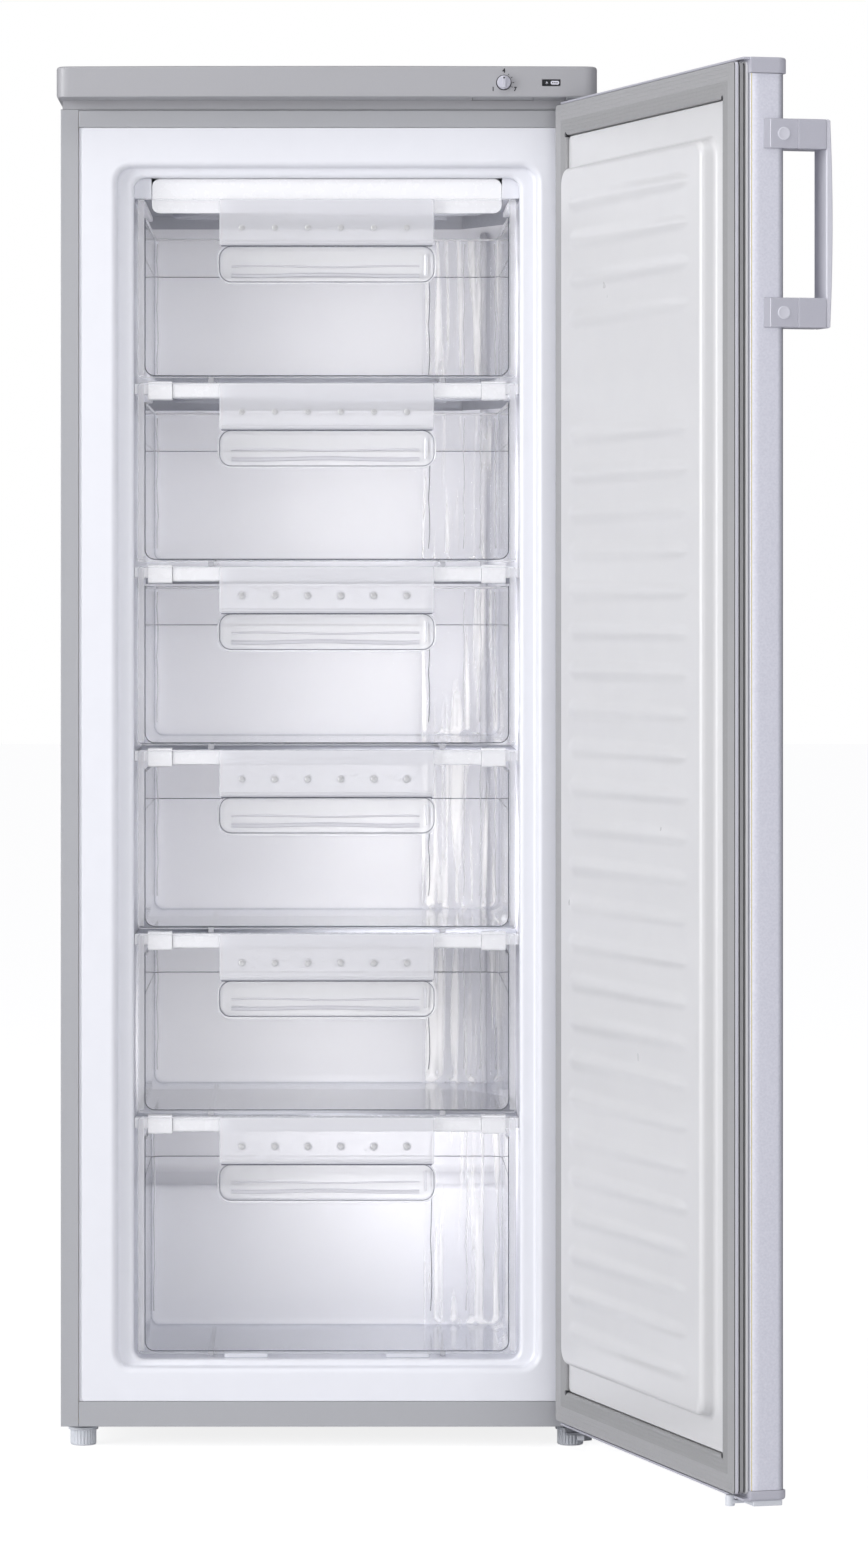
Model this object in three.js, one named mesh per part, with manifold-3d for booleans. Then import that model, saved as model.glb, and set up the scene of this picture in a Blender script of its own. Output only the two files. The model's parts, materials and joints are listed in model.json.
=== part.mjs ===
// Upright freezer with six clear drawers, its door standing open. Millimetres, +Z up, front facing -Y.
import * as THREE from 'three';
import { mergeVertices } from 'three/addons/utils/BufferGeometryUtils.js';
import Module from 'manifold-3d';

const wasm = await Module();
wasm.setup();

// Clearances and sheet thicknesses
const fit = 0.3;
const boreFit = 0.4;
const sheet = 1;
const plasticWall = 2.5;
const cutMargin = 5;
const overlap = 1;

// Cabinet
const overallHeight = 1420;
const cabinetWidth = 548;
const cabinetDepth = 500;
const cabinetBottom = 23;
const stileWidth = 18.5;
const railDepth = 12;
const topRailHeight = 17.2;
const bottomRailHeight = 25.7;
const basePlateThickness = 1.2;

// Worktop
const worktopThickness = 32;
const worktopSideOverhang = 3;
const worktopOverhang = 45;
const worktopBow = 8;
const worktopFrontSteps = 10;
const worktopRear = 5;
const worktopEndRadius = 14;
const worktopBevel = 2.5;
const skirtHeight = 9;
const skirtWall = 3;
const skirtInset = 2;

// Dial, thermostat and badge on the worktop's front
const dialFromEnd = 96;
const dialHeight = 15;
const knobRadius = 7;
const knobDepth = 7;
const knobBevel = 1;
const knobRidgeWidth = 4;
const knobRidgeHeight = 3;
const dialSeatRadius = 7.7;
const dialSeatDepth = 4.2;
const shaftRadius = 2.5;
const shaftReach = 9;
const thermostatWidth = 62;
const thermostatDepth = 56;
const thermostatHeight = 21;
const fasciaWall = 5;
const badgeFromEnd = 47.4;
const badgeWidth = 18.4;
const badgeHeight = 6.4;
const badgeThickness = 1.2;

// Inner liner and the insulation round it
const linerFlangeGap = 3;
const sideInsulation = 75;
const roofInsulation = 69;
const floorInsulation = 67;
const backInsulation = 70;
const cavityRadius = 12;
const recessDepth = 15;
const recessSideStep = 17;
const recessTopStep = 10;
const recessBottomStep = 6;
const recessRadius = 16;
const stepInsulation = 51;
const stepTopInsulation = 45;
const ledgeReach = 8.5;
const ledgeHeight = 6;
const ledgeFront = 52;
const padHeight = 5;
const padInner = 61;
const padWidth = 45;
const padFront = 32;
const padDepth = 30;

// Shelves: the cooling plates with their white front trims
const topBayHeight = 211.7;
const lowBayHeight = 249.1;
const trimCount = 5;
const ceilingShelfDrop = 13;
const shelfFront = 36;
const shelfRearGap = 25;
const shelfSheet = 1.5;
const trimLip = 1.4;
const trimHeight = 15.5;
const trimFront = 31.5;
const trimBack = 50;
const trimRadius = 3;
const sleeveInset = 14;
const sleeveLength = 25;
const sleeveProud = 2;
const stubTopReach = 5;
const stubBottomReach = 6;
const stubRadius = 1;
const coilTube = 8;
const coilRuns = 5;
const coilPitch = 66;
const coilInset = 42;
const coilHalfWidth = 130;
const cornerCutWidth = 50;
const cornerCutDepth = 100;
const riserFromWall = 27;
const riserRadius = 4;
const riserBend = 12;
const riserFoot = 240;
const riserDrop = 24;
const coverInset = 18;
const coverHeight = 36;
const coverFront = 33;
const coverThickness = 2;
const coverReturn = 30;
const coverRadius = 8;
const shoulderProud = 2;

// Drawers
const drawerWall = 2.5;
const drawerFrontY = 26;
const drawerFrontInset = 3.5;
const drawerSideInset = 11;
const drawerRearGap = 15;
const drawerCornerRadius = 14;
const drawerFrontRadius = 3;
const drawerLift = 5;
const drawerSideDrop = 20;
const topDrawerInset = 21.4;
const runnerX = 120;
const runnerWidth = 6;
const pocketHalfWidth = 111;
const pocketTop = 49;
const pocketBottom = 86;
const pocketDepth = 22;
const pocketRadius = 12;
const gripProud = 3;

// Door
const doorSideOverlap = 1;
const doorLift = 5.2;
const doorHeadroom = 1;
const doorSteel = 35;
const doorStandOff = 50;
const doorCornerRadius = 8;
const skinLip = 12;
const topCapHeight = 15;
const topCapProud = 2.7;
const topCapBevel = 2;
const bottomCapHeight = 9.4;
const bottomCapProud = 2.2;
const bottomCapBevel = 3;
const capWall = 2.5;
const capHingeBlock = 30;
const capLip = 2.2;
const capLipReach = 7;
const capLipFromSide = 1;
const stopDrop = 5.2;
const stopFromSide = 1;
const stopFromFront = 2.6;
const stopFromBack = 3.3;
const stopLength = 36;
const stopArmWidth = 9;
const stopArmThickness = 3;
const stopPostRadius = 4.5;
const stopPostDrop = 2.7;
const stopPostHeight = 10.5;
const stopPostInset = 30;
const stopPostBehindSteel = 9.5;
const gasketSideInset = 6;
const gasketTopInset = 4;
const gasketBottomInset = 5.8;
const gasketSideWidth = 34;
const gasketEndWidth = 33;
const gasketGap = 0.8;
const gasketRadius = 4;
const linerSheet = 2;
const borderRise = 11;
const plateauRise = 28;
const plateauSideGap = 3;
const plateauTopGap = 9;
const plateauBottomGap = 16;
const plateauRadius = 16;
const plateauBevel = 4;
const ribCount = 30;
const ribLength = 370;
const ribRadius = 9;
const ribRise = 2.5;
const ribMargin = 36;
const ribEndShare = 0.86;
const ribsAboveFlatField = 4;
const ribsLeftOut = 2;
const doorAngle = 106;

// Hinges
const hingeInset = 10.5;
const hingeBehindDoorFront = 20;
const pinRadius = 4;
const pinLength = 9;
const hingePlateHalfWidth = 18.5;
const hingePlateLength = 105;
const hingePlateThickness = 2.6;
const hingeFrontMargin = 15;
const hingeBlockFront = 8;
const hingeCollarRadius = 7;
const hingeNutHeight = 6.5;
const hingeNutRadius = 9;

// Handle, on the door's free edge
const handleDrop = 57.4;
const handleLength = 196.6;
const bracketHeight = 28.3;
const bracketSide = 3.7;
const bracketWrap = 22;
const bracketChamferLength = 6;
const bracketChamferDepth = 2.2;
const bracketReach = 11.4;
const gripWidth = 34;
const gripThickness = 5.6;
const gripStep = 0.8;
const gripReach = 45.5;
const gripBow = 3.2;
const screwCapRadius = 5.1;
const screwCapDepth = 2.2;
const screwCapBehindFront = 2.5;

// Feet
const footInset = 22;
const footFromFront = 36;
const footFromBack = 40;
const footRadius = 13.5;
const footFlangeRadius = 15.5;
const footFlangeHeight = 3;
const footGap = 1;
const footChamfer = 2;
const footShankRadius = 4;
const footShankLength = 25;

// Compressor bay and condenser
const compressorOffset = 60;
const compressorRadius = 74;
const compressorHeight = 150;
const compressorPlateX = 170;
const compressorPlateY = 120;
const compressorPlateThickness = 3;
const terminalReach = 22;
const terminalHalfWidth = 20;
const terminalBottom = 52;
const terminalTop = 98;
const bayHeadroom = 25.5;
const bayClearance = 21;
const condenserGap = 6;
const condenserTube = 5;
const condenserRuns = 9;
const condenserBottomGap = 130;
const condenserTopGap = 153;
const condenserInset = 69;
const condenserWires = 4;
const condenserWireInset = 35;
const condenserWireWidth = 2.2;
const condenserWireReach = 28;
const condenserFoot = 12;
const glandFromSide = 59;
const glandAboveBay = 40;
const glandRadius = 8;
const glandFlange = 3;
const glandTaper = 1;
const glandLength = 12;
const glandBore = 3.6;

// Places worked out from the sizes above
const worktopBottom = overallHeight - worktopThickness;
const cabinetTop = worktopBottom - skirtHeight;
const halfCabinet = cabinetWidth / 2;
const halfWorktop = halfCabinet + worktopSideOverhang;
const innerHalf = halfCabinet - sheet - fit;
const stileInner = halfCabinet - stileWidth;
const baseTop = cabinetBottom + basePlateThickness + fit;
const flangeBottom = cabinetBottom + bottomRailHeight + fit;
const flangeTop = cabinetTop - sheet - topRailHeight - 2 * fit;

const cavityHalfWidth = halfCabinet - sideInsulation;
const cavityFloor = cabinetBottom + floorInsulation;
const cavityCeiling = cabinetTop - roofInsulation;
const cavityBack = cabinetDepth - backInsulation;
const recessHalfWidth = cavityHalfWidth + recessSideStep;
const recessBottom = cavityFloor - recessBottomStep;
const recessTop = cavityCeiling + recessTopStep;
const bayFront = cabinetDepth - 2 * compressorRadius - bayClearance;
const bayTop = baseTop + compressorHeight + bayHeadroom;
const stepFront = bayFront - stepInsulation;
const stepTop = bayTop + stepTopInsulation;

const ceilingShelfTop = cavityCeiling - ceilingShelfDrop;
const shelfBack = cavityBack - shelfRearGap;
const lowestTrimTop = cavityFloor + lowBayHeight;
const shelfPitch = (cavityCeiling - topBayHeight - lowestTrimTop) / (trimCount - 1);
const sleeveOuter = cavityHalfWidth - sleeveInset;
const sleeveInner = sleeveOuter - sleeveLength;
const drawerHalfWidth = cavityHalfWidth - drawerSideInset;
const drawerFrontHalfWidth = cavityHalfWidth - drawerFrontInset;

const dialX = halfWorktop - dialFromEnd;
const dialZ = worktopBottom + dialHeight;
const dialSeatY = dialSeatDepth - worktopOverhang;
const badgeX = halfWorktop - badgeFromEnd;

const halfDoor = halfCabinet + doorSideOverlap;
const doorBottom = cabinetBottom + doorLift;
const doorTop = worktopBottom - fit - hingePlateThickness - doorHeadroom;
const doorFront = -doorStandOff;
const skinBottom = doorBottom + bottomCapHeight + fit;
const skinTop = doorTop - topCapHeight - fit;
const steelBack = doorFront + doorSteel;
const linerBack = steelBack + fit + linerSheet;
const plateauFace = steelBack + plateauRise;
const hingeX = halfCabinet - hingeInset;
const pivotY = doorFront + hingeBehindDoorFront;
const gasketOuterHalf = halfDoor - gasketSideInset;
const gasketInnerHalf = gasketOuterHalf - gasketSideWidth;
const gasketBottom = doorBottom + gasketBottomInset;
const gasketTop = doorTop - gasketTopInset;
const borderHalfWidth = gasketInnerHalf - 2 * fit;
const borderBottom = gasketBottom + gasketEndWidth + 2 * fit;
const borderTop = gasketTop - gasketEndWidth - 2 * fit;
const plateauHalfWidth = recessHalfWidth - plateauSideGap;
const plateauBottom = recessBottom + plateauBottomGap;
const plateauTop = recessTop - plateauTopGap;
const handleTop = doorTop - handleDrop;
const handleBottom = handleTop - handleLength;
const handleOuterX = -halfDoor - bracketSide - fit;
const handleInnerX = handleOuterX + gripWidth;

const footX = halfCabinet - footInset;
const footHeight = cabinetBottom - fit - hingePlateThickness - footGap;
const footShankTop = footHeight + footShankLength;
const compressorY = cabinetDepth - compressorRadius - bayClearance / 2;
const condenserBottom = bayTop + condenserBottomGap;
const condenserPitch = (cabinetTop - condenserTopGap - condenserBottom) / (condenserRuns - 1);
const condenserHalfWidth = halfCabinet - condenserInset;
const glandX = halfCabinet - glandFromSide;
const glandZ = bayTop + glandAboveBay;

// Colours and finishes
const finish = (color, roughness, metalness = 0) =>
  new THREE.MeshStandardMaterial({ color, roughness, metalness });
const silverPaint = finish('#b4b4b8', 0.42, 0.35);
const silverPlastic = finish('#b2b2b6', 0.5);
const whitePlastic = finish('#eeeef2', 0.35);
const clearPlastic = finish('#dfe3ea', 0.12);
const gasketRubber = finish('#a6a6a8', 0.7);
const plainAluminium = finish('#b9bcc2', 0.45, 0.8);
const zincSteel = finish('#a8aaac', 0.4, 0.8);
const blackEnamel = finish('#17181a', 0.45);
const greyFootPlastic = finish('#9a9ca0', 0.55);
const foamFill = finish('#e6d9a8', 0.95);
const darkPlastic = finish('#1c1d20', 0.4);

// Solids ----------------------------------------------------------------------------------------

function toSolid(geometry) {
  const bare = geometry.clone();
  bare.deleteAttribute('normal');
  bare.deleteAttribute('uv');
  const merged = mergeVertices(bare, 1e-4);
  const vertProperties = new Float32Array(merged.attributes.position.array);
  const triVerts = new Uint32Array(merged.index.array);
  return new wasm.Manifold(new wasm.Mesh({ numProp: 3, vertProperties, triVerts }));
}

function toGeometry(solid) {
  const mesh = solid.getMesh();
  const geometry = new THREE.BufferGeometry();
  geometry.setAttribute('position', new THREE.BufferAttribute(mesh.vertProperties, 3));
  geometry.setIndex(new THREE.BufferAttribute(mesh.triVerts, 1));
  return geometry;
}

const join = (...solids) => solids.reduce((all, one) => all.add(one));
const cut = (solid, ...tools) => tools.reduce((rest, tool) => rest.subtract(tool), solid);

function block([x0, x1], [y0, y1], [z0, z1]) {
  const geometry = new THREE.BoxGeometry(x1 - x0, y1 - y0, z1 - z0);
  geometry.translate((x0 + x1) / 2, (y0 + y1) / 2, (z0 + z1) / 2);
  return toSolid(geometry);
}

function roundedRect([a0, a1], [b0, b1], radius) {
  const shape = new THREE.Shape();
  shape.absarc(a1 - radius, b1 - radius, radius, 0, Math.PI / 2);
  shape.absarc(a0 + radius, b1 - radius, radius, Math.PI / 2, Math.PI);
  shape.absarc(a0 + radius, b0 + radius, radius, Math.PI, 1.5 * Math.PI);
  shape.absarc(a1 - radius, b0 + radius, radius, 1.5 * Math.PI, 2 * Math.PI);
  return shape;
}

function polygon(points) {
  return new THREE.Shape(points.map(([a, b]) => new THREE.Vector2(a, b)));
}

function disc(a, b, radius) {
  return new THREE.Shape().absarc(a, b, radius, 0, 2 * Math.PI);
}

// A prism whose outline lies in the named plane, from one level to the other across it.
const planeAxes = {
  XY: [new THREE.Vector3(1, 0, 0), new THREE.Vector3(0, 1, 0), new THREE.Vector3(0, 0, 1)],
  XZ: [new THREE.Vector3(1, 0, 0), new THREE.Vector3(0, 0, 1), new THREE.Vector3(0, -1, 0)],
  YZ: [new THREE.Vector3(0, 1, 0), new THREE.Vector3(0, 0, 1), new THREE.Vector3(1, 0, 0)],
};

function prism(plane, shape, from, to, { bevel = 0, curveSegments = 2 } = {}) {
  const geometry = new THREE.ExtrudeGeometry(shape, {
    depth: to - from - 2 * bevel,
    bevelEnabled: bevel > 0,
    bevelThickness: bevel,
    bevelSize: bevel,
    bevelOffset: -bevel,
    bevelSegments: 2,
    curveSegments,
  });
  const [across, up, along] = planeAxes[plane];
  const start = plane === 'XZ' ? -to : from;
  geometry.translate(0, 0, start + bevel);
  geometry.applyMatrix4(new THREE.Matrix4().makeBasis(across, up, along));
  return toSolid(geometry);
}

// A turned piece, standing on its axis: its profile gives radius and height.
function turned(profile, segments = 20) {
  const points = profile.map(([radius, height]) => new THREE.Vector2(radius, height));
  const geometry = new THREE.LatheGeometry(points, segments);
  geometry.rotateX(Math.PI / 2);
  return toSolid(geometry);
}

function rod(x, y, [z0, z1], radius, segments = 16) {
  return turned([[0, z0], [radius, z0], [radius, z1], [0, z1]], segments).translate([x, y, 0]);
}

// The outline of a band of even width along a centre line.
function bandShape(line, width) {
  const left = [];
  const right = [];
  line.forEach((point, i) => {
    const before = line[Math.max(i - 1, 0)];
    const after = line[Math.min(i + 1, line.length - 1)];
    const along = new THREE.Vector2().subVectors(after, before).normalize();
    const side = new THREE.Vector2(-along.y, along.x).multiplyScalar(width / 2);
    left.push(point.clone().add(side));
    right.unshift(point.clone().sub(side));
  });
  return new THREE.Shape([...right, ...left]);
}

// A tube's centre line that runs to and fro, with a half circle at each turn.
function serpentine(runs, pitch, halfWidth, start) {
  const line = [];
  const turn = pitch / 2;
  const arcSteps = 5;
  for (let run = 0; run < runs; run += 1) {
    const level = start + run * pitch;
    const way = run % 2 === 0 ? 1 : -1;
    line.push(new THREE.Vector2(-way * (halfWidth - turn), level));
    if (run === runs - 1) {
      line.push(new THREE.Vector2(way * (halfWidth - turn), level));
      break;
    }
    for (let step = 0; step < arcSteps; step += 1) {
      const angle = -Math.PI / 2 + (step / arcSteps) * Math.PI;
      const x = way * (halfWidth - turn + turn * Math.cos(angle));
      line.push(new THREE.Vector2(x, level + turn + turn * Math.sin(angle)));
    }
  }
  return line;
}

// The groups that the pieces stand in -------------------------------------------------------------

const freezer = new THREE.Group();
const doorGroup = new THREE.Group();
doorGroup.position.set(hingeX, pivotY, 0);
doorGroup.rotation.z = THREE.MathUtils.degToRad(doorAngle);
freezer.add(doorGroup);

function addPiece(name, solid, material) {
  const mesh = new THREE.Mesh(toGeometry(solid), material);
  mesh.name = name;
  freezer.add(mesh);
}

// Door pieces are drawn with the door shut, then hung on the hinge line.
function addDoorPiece(name, solid, material) {
  const mesh = new THREE.Mesh(toGeometry(solid), material);
  mesh.geometry.translate(-hingeX, -pivotY, 0);
  mesh.name = name;
  doorGroup.add(mesh);
}

const bothSides = [['left', -1], ['right', 1]];

function span(side, inner, outer) {
  return side < 0 ? [-outer, -inner] : [inner, outer];
}

// Cabinet -----------------------------------------------------------------------------------------

function cabinetShell() {
  const outer = block([-halfCabinet, halfCabinet], [0, cabinetDepth], [cabinetBottom, cabinetTop]);
  const inner = halfCabinet - sheet;
  const openBottom = cabinetBottom - cutMargin;
  const hollow = block([-inner, inner], [sheet, cabinetDepth + cutMargin], [openBottom, cabinetTop - sheet]);
  const doorway = block([-stileInner, stileInner], [-cutMargin, 2 * sheet], [openBottom, cabinetTop - sheet]);
  return cut(outer, hollow, doorway);
}

function crossRail(bottom, top) {
  const reach = stileInner - fit;
  const bar = block([-reach, reach], [0, railDepth], [bottom, top]);
  const hollow = block(
    [-reach - cutMargin, reach + cutMargin],
    [sheet, railDepth + cutMargin],
    [bottom + sheet, top - sheet],
  );
  return cut(bar, hollow);
}

function backPanel() {
  const back = cabinetDepth;
  const top = cabinetTop - sheet - fit;
  const outline = polygon([
    [back, bayTop], [back, top], [back - sheet, top], [back - sheet, bayTop + sheet],
    [bayFront, bayTop + sheet], [bayFront, baseTop], [bayFront + sheet, baseTop], [bayFront + sheet, bayTop],
  ]);
  const panel = prism('YZ', outline, -innerHalf, innerHalf);
  return cut(panel, glandHole(cutMargin));
}

function glandHole(depth) {
  const hole = rod(0, 0, [-cutMargin, depth], glandRadius - sheet, 16);
  return hole.rotate([90, 0, 0]).translate([glandX, cabinetDepth, glandZ]);
}

function basePlate() {
  const levels = [cabinetBottom, cabinetBottom + basePlateThickness];
  const plate = block([-innerHalf, innerHalf], [railDepth + fit, cabinetDepth - sheet], levels);
  const holes = bothSides.map(([, side]) => footBore(side));
  return cut(plate, ...holes);
}

function footBore(side) {
  const bore = footShankRadius + boreFit;
  return rod(side * footX, footFromFront, [footHeight, footShankTop + overlap], bore);
}

// The room inside the liner, grown outwards by an offset: recess, main room and room over the step.
function linerRoom(offset, front) {
  const recess = roundedRect(
    [-recessHalfWidth - offset, recessHalfWidth + offset],
    [recessBottom - offset, recessTop + offset],
    recessRadius + offset,
  );
  const across = [-cavityHalfWidth - offset, cavityHalfWidth + offset];
  const radius = cavityRadius + offset;
  const main = roundedRect(across, [cavityFloor - offset, cavityCeiling + offset], radius);
  const upper = roundedRect(across, [stepTop - offset, cavityCeiling + offset], radius);
  return join(
    prism('XZ', recess, front, recessDepth + offset),
    prism('XZ', main, front, stepFront + offset),
    prism('XZ', upper, front, cavityBack + offset),
  );
}

function shelfLedges() {
  return shelfTops.flatMap((top) => {
    const ledgeTop = plateTop(top) - shelfSheet - fit;
    return bothSides.map(([, side]) =>
      block(
        span(side, cavityHalfWidth - ledgeReach, cavityHalfWidth + plasticWall / 2),
        [ledgeFront, shelfBack - cutMargin],
        [ledgeTop - ledgeHeight, ledgeTop],
      ),
    );
  });
}

function restPads() {
  return bothSides.map(([, side]) =>
    block(
      span(side, padInner, padInner + padWidth),
      [padFront, padFront + padDepth],
      [cavityFloor - plasticWall / 2, cavityFloor + padHeight - fit],
    ),
  );
}

// Blocks that fill the cavity's upper corners beside the ceiling cover, in front of the ceiling shelf.
function coverShoulders() {
  const blocks = bothSides.map(([, side]) =>
    block(
      span(side, cavityHalfWidth - coverInset + fit, halfCabinet),
      [coverFront - shoulderProud, shelfFront - fit],
      [cavityCeiling - topDrawerInset + fit, cabinetTop],
    ),
  );
  return join(...blocks).intersect(linerRoom(plasticWall / 2, 0));
}

function innerLiner() {
  const reach = stileInner - linerFlangeGap;
  const flange = block([-reach, reach], [0, plasticWall], [flangeBottom, flangeTop]);
  const shell = cut(join(flange, linerRoom(plasticWall, 0)), linerRoom(0, -cutMargin));
  return join(shell, ...shelfLedges(), ...restPads(), coverShoulders());
}

function cabinetFoam() {
  const top = cabinetTop - sheet - fit;
  const back = cabinetDepth - sheet - fit;
  const body = block([-innerHalf, innerHalf], [railDepth + fit, back], [baseTop, top]);
  const reach = stileInner - linerFlangeGap;
  const front = block([-reach, reach], [plasticWall + fit, railDepth + overlap], [flangeBottom, flangeTop]);
  const bay = block(
    [-halfCabinet, halfCabinet],
    [bayFront - fit, cabinetDepth],
    [cabinetBottom - cutMargin, bayTop + sheet + fit],
  );
  const feet = bothSides.map(([, side]) => footBore(side));
  return cut(join(body, front), linerRoom(plasticWall + fit, 0), bay, glandHole(glandLength), ...feet);
}

// Worktop, dial and badge ---------------------------------------------------------------------------

// How far back the bowed front has swept at a distance from its middle.
const bowAt = (x) => -worktopOverhang + worktopBow * (x / halfWorktop) ** 2;

function worktopOutline() {
  const back = cabinetDepth + worktopRear;
  const turn = halfWorktop - worktopEndRadius;
  const endFront = bowAt(turn);
  const shape = new THREE.Shape();
  shape.moveTo(halfWorktop, back);
  shape.lineTo(-halfWorktop, back);
  shape.lineTo(-halfWorktop, endFront + worktopEndRadius);
  shape.quadraticCurveTo(-halfWorktop, endFront, -turn, endFront);
  for (let step = 1; step < worktopFrontSteps; step += 1) {
    const x = -turn + (2 * turn * step) / worktopFrontSteps;
    shape.lineTo(x, bowAt(x));
  }
  shape.lineTo(turn, endFront);
  shape.quadraticCurveTo(halfWorktop, endFront, halfWorktop, endFront + worktopEndRadius);
  return shape;
}

function worktopSkirt() {
  const reach = halfCabinet - skirtInset;
  const levels = [cabinetTop + fit, worktopBottom + overlap];
  const ring = block([-reach, reach], [0, cabinetDepth], levels);
  const tall = [cabinetTop - cutMargin, worktopBottom + cutMargin];
  const hollow = block(
    [-reach + skirtWall, reach - skirtWall],
    [skirtWall, cabinetDepth - skirtWall],
    [tall[0], worktopBottom],
  );
  const notch = block(
    [hingeX - hingePlateHalfWidth - 2 * fit, halfCabinet + cutMargin],
    [-cutMargin, hingePlateLength],
    [tall[0], worktopBottom],
  );
  return cut(ring, hollow, notch);
}

function badgeSlot(clearance, front, back) {
  const slope = Math.atan((2 * worktopBow * badgeX) / halfWorktop ** 2);
  const half = badgeWidth / 2 + clearance;
  const tall = badgeHeight / 2 + clearance;
  const slab = block([-half, half], [front, back], [-tall, tall]);
  return slab.rotate([0, 0, THREE.MathUtils.radToDeg(slope)]).translate([badgeX, bowAt(badgeX), dialZ]);
}

function alongY(solid, x, y, z) {
  return solid.rotate([90, 0, 0]).translate([x, y, z]);
}

function worktop() {
  const slab = prism('XY', worktopOutline(), worktopBottom, overallHeight, {
    bevel: worktopBevel,
    curveSegments: 4,
  });
  const seat = rod(0, 0, [-dialSeatY, worktopOverhang + cutMargin], dialSeatRadius, 24);
  const bore = rod(0, 0, [0, worktopOverhang + cutMargin], shaftRadius + boreFit, 12);
  const halfWidth = thermostatWidth / 2 + 2 * fit;
  const pocket = block(
    [dialX - halfWidth, dialX + halfWidth],
    [dialSeatY + fasciaWall, dialSeatY + fasciaWall + thermostatDepth + 2 * fit],
    [worktopBottom, dialZ + thermostatHeight / 2 + fit],
  );
  return cut(
    join(slab, worktopSkirt()),
    alongY(seat, dialX, 0, dialZ),
    alongY(bore, dialX, 0, dialZ),
    pocket,
    badgeSlot(fit, -cutMargin, badgeThickness),
  );
}

function thermostat() {
  const front = dialSeatY + fasciaWall + fit;
  const half = thermostatWidth / 2;
  const body = block(
    [dialX - half, dialX + half],
    [front, front + thermostatDepth],
    [dialZ - thermostatHeight / 2, dialZ + thermostatHeight / 2],
  );
  const shaft = rod(0, 0, [-front - overlap, -front + shaftReach], shaftRadius, 12);
  return join(body, alongY(shaft, dialX, 0, dialZ));
}

function thermostatKnob() {
  const back = -dialSeatY + fit;
  const top = back + knobDepth;
  const cap = turned([
    [0, back], [knobRadius, back], [knobRadius, top - knobBevel], [knobRadius - knobBevel, top],
    [0, top],
  ], 28);
  const ridge = block(
    [-knobRidgeWidth / 2, knobRidgeWidth / 2],
    [knobBevel - knobRadius, knobRadius - knobBevel],
    [top - overlap, top + knobRidgeHeight],
  );
  const socketTop = -dialSeatY - fasciaWall - fit + shaftReach + fit;
  const socket = rod(0, 0, [back - cutMargin, socketTop], shaftRadius + boreFit, 12);
  return alongY(cut(join(cap, ridge), socket), dialX, 0, dialZ);
}

// Shelves -----------------------------------------------------------------------------------------

// The top level of each shelf, from the ceiling shelf down to the lowest.
const shelfTops = [ceilingShelfTop];
for (let i = trimCount - 1; i >= 0; i -= 1) {
  shelfTops.push(lowestTrimTop + i * shelfPitch);
}

// The level of a shelf's plate, just under the top of its front trim.
const plateTop = (top) => top - trimLip - fit;

function coolingShelf(top) {
  const under = plateTop(top) - shelfSheet;
  const half = cavityHalfWidth - 2 * fit;
  const cornerX = half - cornerCutWidth;
  const outline = polygon([
    [-half, shelfFront], [half, shelfFront], [half, shelfBack - cornerCutDepth],
    [half - cornerCutWidth / 2, shelfBack - cornerCutDepth / 2], [cornerX, shelfBack - cutMargin],
    [cornerX, shelfBack], [-half, shelfBack],
  ]);
  const line = serpentine(coilRuns, coilPitch, coilHalfWidth, shelfFront + coilInset);
  return join(
    prism('XY', outline, under, plateTop(top)),
    prism('XY', bandShape(line, coilTube), under - coilTube, under + shelfSheet / 2),
  );
}

// A front edging in section: a block with a slot from behind that takes the shelf's front edge.
function edgingOutline(front, back, bottom, top, shelfTop, radius) {
  const slotTop = plateTop(shelfTop) + fit;
  const slotBottom = slotTop - shelfSheet - 2 * fit;
  const shape = new THREE.Shape();
  shape.moveTo(back, top);
  shape.lineTo(front + radius, top);
  shape.quadraticCurveTo(front, top, front, top - radius);
  shape.lineTo(front, bottom + radius);
  shape.quadraticCurveTo(front, bottom, front + radius, bottom);
  shape.lineTo(back, bottom);
  shape.lineTo(back, slotBottom);
  shape.lineTo(shelfFront - fit, slotBottom);
  shape.lineTo(shelfFront - fit, slotTop);
  shape.lineTo(back, slotTop);
  return shape;
}

function shelfTrim(top) {
  const outline = edgingOutline(trimFront, trimBack, top - trimHeight, top, top, trimRadius);
  return prism('YZ', outline, -sleeveInner + fit, sleeveInner - fit);
}

function trimSleeve(top, side) {
  const bottom = top - trimHeight;
  const sleeve = edgingOutline(
    trimFront - sleeveProud, trimBack, bottom - sleeveProud, top + sleeveProud, top, trimRadius,
  );
  const middle = top - trimHeight / 2 + sleeveProud;
  const stub = edgingOutline(
    trimFront, trimBack, middle - stubBottomReach, middle + stubTopReach, top, stubRadius,
  );
  const [sleeveFrom, sleeveTo] = span(side, sleeveInner, sleeveOuter);
  const [stubFrom, stubTo] = span(side, sleeveOuter - overlap, cavityHalfWidth - fit);
  return join(prism('YZ', sleeve, sleeveFrom, sleeveTo), prism('YZ', stub, stubFrom, stubTo));
}

function ceilingCover() {
  const top = cavityCeiling - fit;
  const half = cavityHalfWidth - coverInset;
  const face = roundedRect([-half, half], [cavityCeiling - coverHeight, top], coverRadius);
  const lip = block(
    [-half + coverRadius, half - coverRadius],
    [coverFront + coverThickness / 2, coverFront + coverReturn],
    [top - coverThickness, top],
  );
  return join(prism('XZ', face, coverFront, coverFront + coverThickness), lip);
}

// A round tube along one stretch of its path.
function tube(path, radius, steps) {
  const geometry = new THREE.ExtrudeGeometry(disc(0, 0, radius), {
    steps, curveSegments: 5, bevelEnabled: false, extrudePath: path,
  });
  return toSolid(geometry);
}

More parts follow.
